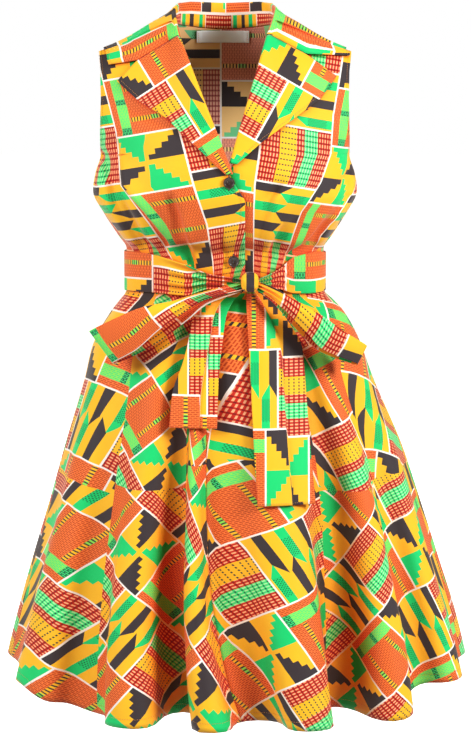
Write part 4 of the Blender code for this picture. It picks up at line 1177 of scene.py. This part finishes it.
def collarRows(hand):
    # Up the stand, over the fold and down the fall, from the middle of the back
    keys = np.linspace(0, 1, len(collar["x"]))
    share = np.linspace(0, 1, collar["stations"] + 1)
    x, z, sides, edgeLevels, edgeSides = (
        np.array(collar[key], float) for key in ("x", "z", "side", "edgeLevel", "edgeSide"))
    seamRoots = signedRoot(levelOf(body["centre"] + x, z), sides)
    edgeRoots = signedRoot(edgeLevels, edgeSides)
    read = {key: np.interp(share, keys, collar[key]) for key in ("x", "z", "inward", "up", "stand", "lean")}
    edgeX = body["centre"] + hand * readCurve(keys, collar["edgeX"], share)
    edgeRoot = readCurve(keys, edgeRoots, share)
    seamRoot = np.interp(share, keys, seamRoots)
    side = np.where(share <= keys[-3], 1, -1)
    seamX = np.where(side > 0, body["centre"] + hand * read["x"], frontEdge(hand, read["z"]))
    seam = onBodice(seamX, read["z"], side, 0.0)
    inward = neckInward(seam)
    seam = (seam + inward * (turned["wall"] + read["inward"] * collar["neckGap"])[:, None]
            + stack(0, 0, read["up"] * collar["neckGap"]))
    outward = -neckInward(seam)
    top = seam - outward * read["lean"][:, None] + stack(0, 0, read["stand"])
    half = np.minimum(collar["standWidth"], read["stand"] * collar["standShare"])[:, None] / 2
    upright = np.array([0, 0, 1]) * half
    inner = top - upright
    centre = top + outward * half - upright
    columns = [seam]
    for part in np.linspace(0, 1, collar["standPlaces"] + 2)[1:-1]:
        columns.append(seam + (inner - seam) * part)
    for turn in np.linspace(0, np.pi, turned["turnSteps"] + 1 - collar["standPlaces"]):
        columns.append(centre - outward * half * math.cos(turn) + upright * math.sin(turn))
    start = columns[-1]
    edge = onChart(edgeX, edgeRoot, turned["riseEdge"])
    for v in np.linspace(0, 1, turned["fallColumns"] + 1)[1:]:
        x = seam[:, 0] + (edgeX - seam[:, 0]) * v
        flat = onChart(x, seamRoot + (edgeRoot - seamRoot) * v, turnedRise(v))
        straight = start + (edge - start) * v
        columns.append(straight + (flat - straight) * smoothStep(collar["flatFrom"], 1, v))
    return np.stack(columns, axis=1)


def gorgeRow(hand):
    roll, tip = np.array([turned["gorge"][hand]]), np.array([turned["collarTip"][hand]])
    row = turnedRows(roll, tip, hand, np.ones(1))
    row[..., 2] += turned["gorgeGap"]
    return row[0]


def betweenRows(near, far, hand):
    # Rows from one collar row to the next, kept at the neckline and over the shoulder
    share = np.linspace(0, 1, collar["gorgeSteps"] + 1)[1:-1, None]
    fromZ, toZ = collar["z"][-1], turned["gorge"][hand][1]
    z = np.concatenate([[fromZ], fromZ + (toZ - fromZ) * share[:, 0], [toZ]])
    marks = onBodice(frontEdge(hand, z), z, -1, 0.0)
    shift = marks[1:-1] - (marks[0] + (marks[-1] - marks[0]) * share)
    first = turned["turnSteps"] + 2
    stand = near[None, :first] + (far - near)[None, :first] * share[..., None] + shift[:, None]
    roots = [signedRoot(levelOf(row[first:, 0], row[first:, 2]), np.where(row[first:, 1] >= 0, 1, -1))
             for row in (near, far)]
    x = near[None, first:, 0] + (far - near)[None, first:, 0] * share
    root = roots[0] + (roots[1] - roots[0]) * share
    above = near[first:] - onChart(near[first:, 0], roots[0], 0.0)
    v = np.linspace(0, 1, turned["fallColumns"] + 1)[None, 1:]
    fall = onChart(x, root, turnedRise(v) * share) + above[None] * (1 - share[..., None])
    return np.concatenate([stand, fall], axis=1)


def collarGrid():
    halves = []
    for hand in (-1, 1):
        rows = collarRows(hand)
        last = gorgeRow(hand)
        halves.append(np.concatenate([rows, betweenRows(rows[-1], last, hand), last[None]]))
    return np.concatenate([halves[0][::-1], halves[1][1:]])


# A line's heading in degrees, a place on the column line and one on the row line
turnedPrint = {
    "right": {
        "heading": -57,
        "columnAt": (-0.0784, -0.0577),
        "column": 1,
        "rowAt": (-0.0584, -0.1043),
        "row": 2.22,
        "stretch": 1.16,
    },
    "left": {
        "heading": 60,
        "columnAt": (0.0726, -0.0544),
        "column": 2,
        "rowAt": (0.0658, -0.106),
        "row": 1.22,
        "stretch": 1.15,
    },
    "collar": {"across": 0.014, "along": 0.055, "edgeColumns": 8},
}


def lapelChart(grid, layout):
    angle = math.radians(layout["heading"])
    flat = grid[..., [0, 2]]
    along = (flat - np.array(layout["columnAt"])) @ np.array([math.cos(angle), math.sin(angle)])
    across = (flat - np.array(layout["rowAt"])) @ np.array([-math.sin(angle), math.cos(angle)])
    return np.stack([layout["column"] * wax["column"] + along * layout["stretch"],
                     layout["row"] * wax["block"] + across], axis=-1)


def collarChart(grid):
    # Columns of the print run round the neck, rows from the neck to the edge
    across = runLength(grid, 1).mean(axis=0)[None, :] - turnedPrint["collar"]["across"]
    edge = runLength(grid, 0)[:, -turnedPrint["collar"]["edgeColumns"]:]
    along = edge.mean(axis=1)[:, None] + turnedPrint["collar"]["along"]
    return np.stack(np.broadcast_arrays(across, along), axis=-1)


def makeTurned():
    for hand in (-1, 1):
        side, grid = sideOf(hand), lapelGrid(hand)
        chart = lapelChart(grid, turnedPrint[side])
        piece = clothPiece("cloth_lapel_" + side, grid, chart, "lapel_" + side, wall=turned["wall"],
                           flip=hand < 0)
        declareSheet(piece, grid, runChart(grid))
    grid = collarGrid()
    chart = collarChart(grid)
    piece = clothPiece("cloth_collar", grid, chart, "collar", wall=turned["wall"], flip=True)
    declareSheet(piece, grid, chart)


makeTurned()
print("lapels and collar turned")


# sash: band, bow loops, hanging ends and knot

band = {
    "place": [14.5, 28, 40, 60, 90, 180, 270, 300, 318, 340, 354, 362, 370],
    "top": [-0.347, -0.334, -0.317, -0.312, -0.317, -0.318, -0.315, -0.312, -0.314, -0.326, -0.34,
            -0.344, -0.349],
    "bottom": [-0.36, -0.362, -0.37, -0.3725, -0.3728, -0.374, -0.3728, -0.37, -0.369, -0.371,
               -0.3602, -0.3601, -0.36],
    "out": [0.0158, 0.007, 0.0045, 0.0038, 0.0036, 0.0036, 0.0036, 0.0038, 0.004, 0.005, 0.008, 0.011,
            0.0148],
    "creases": 3,
    "creaseDepth": 0.0022,
    "gatherFrom": 0.75,
    "rows": 36,
    "columns": 320,
}

loops = {
    "right": [
        (0.022, -0.3495, 0.0255, -0.359, -0.131),
        (-0.034, -0.363, -0.032, -0.373, -0.142),
        (-0.076, -0.3735, -0.061, -0.391, -0.151),
        (-0.117, -0.3815, -0.094, -0.414, -0.155),
        (-0.157, -0.398, -0.128, -0.444, -0.153),
        (-0.195, -0.418, -0.162, -0.464, -0.144),
        (-0.194, -0.421, -0.16, -0.467, -0.13),
        (-0.154, -0.413, -0.133, -0.455, -0.136),
        (-0.114, -0.399, -0.094, -0.433, -0.139),
        (-0.072, -0.384, -0.054, -0.402, -0.139),
        (-0.031, -0.369, -0.027, -0.38, -0.133),
        (0.02, -0.354, 0.023, -0.362, -0.1265),
    ],
    "left": [
        (0.047, -0.3495, 0.0435, -0.359, -0.131),
        (0.07, -0.357, 0.066, -0.3715, -0.14),
        (0.0915, -0.368, 0.082, -0.385, -0.151),
        (0.138, -0.3945, 0.1145, -0.4175, -0.155),
        (0.166, -0.415, 0.137, -0.442, -0.153),
        (0.202, -0.439, 0.189, -0.465, -0.144),
        (0.2, -0.444, 0.188, -0.4685, -0.13),
        (0.162, -0.423, 0.137, -0.449, -0.136),
        (0.132, -0.404, 0.109, -0.425, -0.139),
        (0.092, -0.379, 0.082, -0.3935, -0.139),
        (0.069, -0.3655, 0.066, -0.3755, -0.133),
        (0.049, -0.354, 0.046, -0.362, -0.1265),
    ],
    "crown": 0.004,
    "crease": 0.0018,
    "creases": 2.6,
    "creaseSlant": 6,
    "gather": ((0.3, 0.06), (0.7, 0.94)),
    "rows": 44,
    "columns": 200,
}

tails = {
    "right": [
        (-0.553, -0.0807, -0.0123, 0.007),
        (-0.507, -0.0765, -0.0109, 0.007),
        (-0.461, -0.061, -0.0081, 0.008),
        (-0.44, -0.0553, -0.0053, 0.009),
        (-0.4, -0.0468, 0.0004, 0.01),
        (-0.38, -0.0354, 0.009, 0.013),
        (-0.362, -0.006, 0.027, 0.0145),
    ],
    "left": [
        (-0.66, 0.0453, 0.1284, 0.007),
        (-0.5835, 0.0403, 0.1214, 0.007),
        (-0.514, 0.0368, 0.1159, 0.007),
        (-0.446, 0.0333, 0.1104, 0.008),
        (-0.41, 0.0312, 0.092, 0.01),
        (-0.38, 0.0297, 0.068, 0.014),
        (-0.3618, 0.03, 0.045, 0.0175),
    ],
    "fold": 0.0045,
    "layers": {"right": 0.62, "left": 0.6},
    "layerStep": 0.0028,
    "envelope": 0.014,
    "rows": 110,
    "columns": 44,
}

sashPrint = {
    # places on the band, and the print's columns there
    "bandMarks": [(0.0847, -0.088, -0.345), (-0.1047, -0.08, -0.345)],
    "bandColumns": [2, 7],
    "bandUp": 0.1565,
    # start of the strip at the outer turn, heading, and how far up it
    "loopRight": (0.011, -1, 0.000),
    "loopLeft": (0.262, 1, 0.114),
    "tailRight": {
        "lineX": -0.044,
        "levelZ": -0.5074,
        "heading": -1,
        "lineV": 2.1,
        "offset": (0.028, 0.03),
    },
    "tailLeft": {
        "lineX": 0.0744,
        "levelZ": -0.4441,
        "heading": 1,
        "lineV": 1.22,
        "offset": (-0.012, 0.02),
    },
    "tailWide": 1.1,
}

knot = {
    "place": (0.0345, -0.13, -0.349),
    "size": (0.0276, 0.023, 0.031),
    "clear": 0.93,
    "steps": (72, 48),
    "squareness": 0.72,
    "crease": 0.06,
    "creaseLevel": 0.6,
    # turns round, turns across, share and start of each wave
    "waves": ((7, 4, 1, 0), (4, -2, 0.5, 1)),
    "printFrom": (0.128, 0.058),
    "printScale": (0.012, 0.02),
    "fill": 0.8,
}


def bandGrid():
    up = np.linspace(0, 1, band["rows"] + 1)[:, None]
    place = np.linspace(band["place"][0], band["place"][-1], band["columns"] + 1)[None, :]
    angle = np.radians(place)
    bottom, top, out = (readCurve(band["place"], band[key], place) for key in ("bottom", "top", "out"))
    gather = smoothStep(band["gatherFrom"], 1, np.cos(angle))
    out = out + band["creaseDepth"] * gather * np.cos(2 * np.pi * band["creases"] * up)
    depth = np.where(np.cos(angle) > 0, body["front"][0], body["back"][0])
    return stack(body["centre"] + (body["half"][0] + out) * rounded(np.sin(angle)),
                 -(depth + out) * rounded(np.cos(angle)), bottom + (top - bottom) * up)


def loopGrid(side):
    table = np.array(loops[side])
    keys = np.linspace(0, 1, len(table))
    share = np.linspace(0, 1, loops["columns"] + 1)[None, :]
    topX, topZ, lowX, lowZ, y = (readCurve(keys, table[:, column], share) for column in range(5))
    up = np.linspace(0, 1, loops["rows"] + 1)[:, None]
    bulge = loops["crown"] * np.sin(np.pi * up) * np.sin(2 * np.pi * share)
    gather = sum(smoothStep(*limits, share) for limits in loops["gather"])
    turn = 2 * np.pi * loops["creases"] * up + loops["creaseSlant"] * share
    bulge = bulge + loops["crease"] * gather * np.cos(turn)
    return stack(lowX + (topX - lowX) * up, y - bulge, lowZ + (topZ - lowZ) * up)


def beforeSkirt(x, z, out):
    growth = ((body["waist"] - z) / (body["waist"] - hemLevel(0))) ** skirt["growth"]
    proud = tails["envelope"] * growth + out
    half, centre, front = skirtSizes(z)[:3]
    return stack(x, -(front + proud) * np.sqrt(1 - ((x - centre) / (half + proud)) ** 2), z)


def tailGrid(side):
    table = np.array(tails[side])
    share = np.linspace(0, 1, tails["rows"] + 1)[:, None]
    z = table[0, 0] + (table[-1, 0] - table[0, 0]) * share
    left, right, out = (readCurve(table[:, 0], table[:, column], z) for column in (1, 2, 3))
    across = np.linspace(0, 1, tails["columns"] + 1)[None, :]
    layer = tails["layers"][side]
    bulge = tails["fold"] * np.sin(np.pi * across / layer) ** 2 * (across < layer) * share
    step = tails["layerStep"] * (across > layer)
    return beforeSkirt(left + (right - left) * across, z, out + bulge - step)


def bandChart(grid):
    run = runLength(grid, 1).mean(axis=0)
    middle = grid[grid.shape[0] // 2]
    marks, columns = [], np.array(sashPrint["bandColumns"]) * wax["column"]
    for place in sashPrint["bandMarks"]:
        marks.append(run[np.argmin(np.linalg.norm(middle - np.array(place), axis=1))])
    u = np.interp(run, [marks[0] - 1, *marks, marks[1] + 1], [columns[0] - 1, *columns, columns[1] + 1])
    return np.stack([u[None, :] + 0 * grid[..., 0], runLength(grid, 0) + sashPrint["bandUp"]], axis=-1)


def loopChart(grid, side):
    # Along the strip from its outer turn, and up it
    along = runLength(grid, 1)
    start, heading, up = sashPrint["loop" + side.title()]
    outer = along[:, [grid.shape[1] // 2]]
    return np.stack([start + heading * (along - outer), up + runLength(grid, 0)], axis=-1)


def tailChart(grid, side):
    # Up or down the end, and away from its upright line
    layout = sashPrint["tail" + side.title()]
    across = (grid[..., 0] - layout["lineX"]) * layout["heading"] * sashPrint["tailWide"]
    up = (grid[..., 2] - layout["levelZ"]) * -layout["heading"]
    beyond = np.arange(grid.shape[1]) > tails["columns"] * tails["layers"][side]
    return np.stack([wax["column"] + up + beyond * layout["offset"][0],
                     layout["lineV"] * wax["block"] + across + beyond * layout["offset"][1]], axis=-1)


def makeSash():
    grid = bandGrid()
    chart = bandChart(grid)
    piece = clothPiece("cloth_sash_band", grid, chart, "sash_band")
    declareSheet(piece, grid, chart)
    for side in ("right", "left"):
        grid = loopGrid(side)
        chart = loopChart(grid, side)
        name = "sash_loop_" + side
        piece = clothPiece("cloth_" + name, grid, chart, name, flip=side == "right")
        declareSheet(piece, grid, chart)
    for side in ("right", "left"):
        grid, name = tailGrid(side), "sash_tail_" + side
        piece = clothPiece("cloth_" + name, grid, tailChart(grid, side), name)
        declareSheet(piece, grid, runChart(grid))


def makeKnot():
    # A tight lump wrapped by the sash, its creases running over it
    around = np.linspace(0, 2 * np.pi, knot["steps"][0] + 1)[None, :]
    over = np.linspace(0, np.pi, knot["steps"][1] + 1)[:, None]
    across, up, depth = np.cos(over), np.sin(over) * np.cos(around), np.sin(over) * np.sin(around)
    wave = sum(share * np.cos(turns * around + slant * across + start)
               for turns, slant, share, start in knot["waves"])
    crease = 1 + knot["crease"] * (wave - knot["creaseLevel"]) * np.sin(over)
    x, z, y = (np.copysign(np.abs(value) ** knot["squareness"], value)
               for value in (across, up * crease, depth * crease))
    half = np.array(knot["size"]) / 2 * knot["clear"]
    grid = np.array(knot["place"]) + stack(x, y, z) * half
    chart = np.stack(np.broadcast_arrays(*(start + way * scale for start, way, scale in zip(
        knot["printFrom"], (around, across), knot["printScale"]))), axis=-1)
    piece = clothPiece("cloth_sash_knot", grid, chart, "sash_knot")
    piece.modifiers.clear()
    mesh = bmesh.new()
    mesh.from_mesh(piece.data)
    bmesh.ops.remove_doubles(mesh, verts=mesh.verts, dist=1e-6)
    bmesh.ops.recalc_face_normals(mesh, faces=mesh.faces)
    mesh.to_mesh(piece.data)
    mesh.free()


makeSash()
makeKnot()
print("sash tied")


# sewing: each stitch is a short raised thread

thread = {
    "long": 0.0026,
    "gap": 0.001,
    "thick": 0.00022,
    "lift": 0.00012,
    # share of the way along, size and lift of each section
    "sections": ((0, 0, 0.1), (0.12, 0.8, 0.5), (0.5, 1, 1.0), (0.88, 0.8, 0.5), (1, 0, 0.1)),
    "look": {"Roughness": 0.55, "Sheen Weight": 0.3},
    "twist": {"Scale": 900, "Distortion": 1.5},
    "shade": 0.6,
}


def gridNormals(grid, facing):
    across, along = np.gradient(grid, axis=1), np.gradient(grid, axis=0)
    return unit(np.cross(across, along)) * facing


def insetLine(name, inset, edge, rows=(None, None)):
    # A line at a set distance from one edge of a laid piece, with its outward directions
    grid, facing = laid[name]
    normals = gridNormals(grid, facing)
    if edge == "bottom":
        grid, normals = grid.transpose(1, 0, 2), normals.transpose(1, 0, 2)
    if edge == "last":
        grid, normals = grid[:, ::-1], normals[:, ::-1]
    grid, normals = grid[slice(*rows)], normals[slice(*rows)]
    run = runLength(grid, 1)
    line = [[np.interp(inset, run[row], part[row][:, axis]) for axis in range(3)]
            for part in (grid, normals) for row in range(len(grid))]
    line = np.array(line).reshape(2, len(grid), 3)
    return line[0], unit(line[1])


def threadPieces(starts, ends, normals, thick):
    # Diamond sections at both ends and a raised one in the middle, closed at the tips
    side = np.cross(unit(ends - starts), normals)
    parts = []
    for share, size, lift in thread["sections"]:
        middle = starts + (ends - starts) * share + normals * (thread["lift"] + thick * lift)
        if not size:
            parts.append(middle[:, None])
            continue
        ring = [side * size, normals * size, -side * size, -normals * size]
        parts.append(middle[:, None] + np.stack(ring, axis=1) * thick)
    return np.concatenate(parts, axis=1)


def stitchFaces():
    # One tip, three rings of four corners and the other tip
    quarter = [(k, (k + 1) % 4) for k in range(4)]
    return ([(0, 1 + a, 1 + b) for a, b in quarter]
            + [(ring + a, ring + 4 + a, ring + 4 + b, ring + b) for ring in (1, 5) for a, b in quarter]
            + [(13, 9 + b, 9 + a) for a, b in quarter])


def sew(name, starts, ends, normals, finish, thick=thread["thick"]):
    points = threadPieces(starts, ends, normals, thick)
    pattern = stitchFaces()
    faces = [tuple(points.shape[1] * number + corner for corner in face)
             for number in range(len(points)) for face in pattern]
    return addPiece(name, points, faces, finish)


def runningStitch(name, line, finish):
    points, normals = line
    run = np.concatenate([[0], np.cumsum(np.linalg.norm(np.diff(points, axis=0), axis=1))])
    first = np.arange(thread["gap"], run[-1] - thread["long"], thread["long"] + thread["gap"])

    def at(places, values):
        return np.stack([np.interp(places, run, values[:, axis]) for axis in range(3)], axis=-1)

    return sew(name, at(first, points), at(first + thread["long"], points),
               unit(at(first + thread["long"] / 2, normals)), finish)


def threadFinish(name, colour):
    finish, sums, inputs = newFinish(name, thread["look"])
    darker = tuple(part * thread["shade"] for part in colour)
    twist = sums.noise("TexWave", thread["twist"])
    sums.put(inputs["Base Color"], sums.paint(twist, (*darker, 1), (*colour, 1)))
    return finish


goldThread = threadFinish("gold_thread", (0.85, 0.33, 0.03))
darkThread = threadFinish("dark_thread", (0.035, 0.02, 0.018))

armholeRows = (bodice["rows"] // 2, None)
# cloth, how far in from which edge, and the rows of the cloth that are sewn
stitching = {
    "placket": ("bodice_front_right", 0.006, "last", (0, int(bodice["rows"] * 0.46))),
    "lapel_right": ("lapel_right", 0.0045, "last", (2, -1)),
    "lapel_left": ("lapel_left", 0.0045, "last", (2, -1)),
    "collar": ("collar", 0.0045, "last"),
    "armhole_front_right": ("bodice_front_right", 0.0045, "first", armholeRows),
    "armhole_front_left": ("bodice_front_left", 0.0045, "first", armholeRows),
    "armhole_back_right": ("bodice_back", 0.0045, "first", armholeRows),
    "armhole_back_left": ("bodice_back", 0.0045, "last", armholeRows),
    "hem_front_right": ("skirt_front_right", 0.013, "bottom"),
    "hem_front_left": ("skirt_front_left", 0.013, "bottom"),
    "hem_back": ("skirt_back", 0.013, "bottom"),
    "tail_right": ("sash_tail_right", 0.003, "bottom"),
    "tail_left": ("sash_tail_left", 0.003, "bottom"),
}


def sewEdges():
    for name, (cloth, *place) in stitching.items():
        runningStitch("stitches_" + name, insetLine("cloth_" + cloth, *place), goldThread)


hemBand = {"inward": 0.0015, "wall": 0.0008, "rows": 5, "clearOfEdge": 0.06}


def turnUpHem():
    # The hem's turned-up band inside each panel
    for name, (start, end) in skirt["seams"].items():
        edge, second, third = skirtGrid(start, end)[:3, None]
        hem = edge + (second - edge) * hemBand["clearOfEdge"]
        share = np.linspace(0, 1, hemBand["rows"])[:, None, None]
        inner = hem + (third - hem) * share
        inner = inner - gridNormals(inner, 1) * hemBand["inward"]
        clothPiece("hem_" + name, inner, runChart(inner), None, wall=hemBand["wall"])


turnUpHem()
sewEdges()
print("edges sewn")


# buttons and neck label

button = {
    "width": 0.016,
    "thick": 0.003,
    "sides": 48,
    "rim": 0.0016,
    "step": 0.4,
    "dish": 0.0006,
    "hole": 0.0018,
    "holeSides": 16,
    "spread": 0.0019,
    "soft": 0.0004,
    "seat": 0.0005,
    "thread": 0.0004,
    "slit": 0.021,
    "slitStitch": 0.0013,
    "slitStep": 0.0006,
    "slitThread": 0.00026,
    "cloud": {"Scale": 220},
    "darkest": (0.012, 0.008, 0.008, 1),
    "palest": (0.05, 0.03, 0.024, 1),
    "roughness": (0.16, 0.2),
    "places": {"button_top": (0.005, -0.207), "button_waist": (0.0113, -0.3215)},
}


def darkButtonFinish():
    # Dark moulded plastic, clouded a little
    finish, sums, inputs = newFinish("dark_button", {})
    cloud = sums.noise("TexNoise", button["cloud"])
    smooth, more = button["roughness"]
    sums.put(inputs["Base Color"], sums.paint(cloud, button["darkest"], button["palest"]))
    sums.put(inputs["Roughness"], sums.plus(sums.times(cloud, more), smooth))
    return finish


def onFront(x, z, rise):
    normal = bodiceNormal(angleOf(x, z), z, -1)
    return frontPoint(x, z, -1) + normal * rise, normal


def makeDisc(name):
    # A turned disc with a sunk middle
    bpy.ops.object.select_all(action="DESELECT")
    bpy.ops.mesh.primitive_cylinder_add(vertices=button["sides"], radius=button["width"] / 2,
                                        depth=button["thick"])
    disc = bpy.context.object
    disc.name = name
    bpy.ops.object.mode_set(mode="EDIT")
    bpy.ops.mesh.select_all(action="DESELECT")
    shape = bmesh.from_edit_mesh(disc.data)
    for face in shape.faces:
        face.select_set(face.normal.z > 0.9)
    bmesh.update_edit_mesh(disc.data)
    bpy.ops.mesh.inset(thickness=button["rim"])
    bpy.ops.mesh.inset(thickness=button["rim"] * button["step"])
    bpy.ops.transform.translate(value=(0, 0, -button["dish"]))
    bpy.ops.object.mode_set(mode="OBJECT")
    return disc


def drillHoles(disc):
    for number in range(4):
        quarter = math.pi / 4 + number * math.pi / 2
        place = (math.cos(quarter) * button["spread"], math.sin(quarter) * button["spread"], 0)
        bpy.ops.mesh.primitive_cylinder_add(vertices=button["holeSides"], radius=button["hole"] / 2,
                                            depth=button["thick"] * 3, location=place)
        drill = bpy.context.object
        bpy.context.view_layer.objects.active = disc
        disc.modifiers.new("hole", "BOOLEAN").object = drill
        bpy.ops.object.modifier_apply(modifier="hole")
        bpy.data.objects.remove(drill)


def makeButton(name, x, z, finish):
    disc = makeDisc("dark_" + name)
    disc.data.materials.append(finish)
    drillHoles(disc)
    soften = disc.modifiers.new("soften", "BEVEL")
    soften.width = button["soft"]
    soften.segments = 3
    bpy.ops.object.modifier_apply(modifier="soften")
    place, normal = onFront(x, z, button["seat"] + button["thick"] / 2)
    turn = Vector(normal.tolist()).to_track_quat("Z", "Y").to_matrix().to_4x4()
    turn.translation = Vector(place.tolist())
    disc.data.transform(turn)
    disc.select_set(True)
    bpy.ops.object.shade_smooth_by_angle(angle=math.radians(40))
    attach(disc, "root")
    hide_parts(name)
    threadButton(name, np.array(turn))


def threadButton(name, turn):
    # Two threads across the four holes
    level = button["thick"] / 2 - button["dish"]
    reach = button["spread"] * math.cos(math.pi / 4)
    starts, ends = (np.array([(-side * reach, y, level, 1) for y in (-reach, reach)]) @ turn.T
                    for side in (1, -1))
    normals = np.repeat(turn[None, :3, 2], 2, axis=0)
    sew("thread_" + name, starts[:, :3], ends[:, :3], normals, darkThread, thick=button["thread"])


def makeButtonhole(name, x, z):
    # Close short stitches round an upright slit behind the button
    levels = np.arange(z - button["slit"] / 2, z + button["slit"] / 2, button["slitStep"])
    inner, normals = onFront(x + 0 * levels, levels, 0.0)
    outers = [onFront(x + side * button["slitStitch"] + 0 * levels, levels, 0.0)[0] for side in (-1, 1)]
    sew("buttonhole_" + name, np.concatenate([inner, inner]), np.concatenate(outers),
        np.concatenate([normals, normals]), darkThread, thick=button["slitThread"])


darkButton = darkButtonFinish()
for name, (x, z) in button["places"].items():
    makeButtonhole(name, x, z)
    makeButton(name, np.array(x), np.array(z), darkButton)

label = {
    "width": 0.082,
    "height": 0.018,
    "centre": -0.005,
    "drop": 0.001,
    "clear": 0.0034,
    "wall": 0.0006,
    "rows": 15,
    "columns": 90,
    "turned": 0.007,
    "turnedRise": 0.0005,
    "turnedBlend": 0.0006,
    "stitchesIn": 0.003,
    "look": {"Roughness": 0.42, "Sheen Weight": 0.2},
    "rib": 0.0006,
    "ribBump": (0.2, 0.0002),
    "ribGrooveShade": (0.84, 0.94, 1.0, 1),
    "ribCrestLight": (0.95, 1.0, 1.0, 1),
}


def tapeFinish():
    # Pale satin tape with fine ribs across it, painted lighter on each rib's crest and darker in its groove
    finish, sums, inputs = newFinish("label_tape", label["look"])
    ribs = sums.run("SINE", sums.times(sums.printPlace()[1], 2 * math.pi / label["rib"]))
    share = sums.plus(sums.times(ribs, 0.5), 0.5)
    sums.put(inputs["Base Color"], sums.paint(share, label["ribGrooveShade"], label["ribCrestLight"]))
    sums.put(inputs["Normal"], sums.bump(ribs, *label["ribBump"]))
    return finish


def makeLabel():
    # A bare tape, raised where its ends are turned under
    top = bodice["backNeck"] - label["drop"]
    half, blend = label["width"] / 2, label["turnedBlend"]
    z = np.linspace(top - label["height"], top, label["rows"])[:, None]
    x = np.linspace(label["centre"] - half, label["centre"] + half, label["columns"])[None, :]
    end = half - np.abs(x - label["centre"])
    under = label["turnedRise"] * smoothStep(label["turned"] + blend, label["turned"] - blend, end)
    grid = onBodice(x, z, 1, -label["clear"] - under)
    chart = runChart(grid)
    piece = clothPiece("tape_neck_label", grid, chart, "neck_label", wall=label["wall"])
    piece.data.materials[0] = tapeFinish()
    declareSheet(piece, grid, chart)
    for edge in ("first", "last"):
        line = insetLine("tape_neck_label", label["stitchesIn"], edge)
        runningStitch("stitches_label_" + edge, line, goldThread)


makeLabel()
print("buttons and label sewn on")
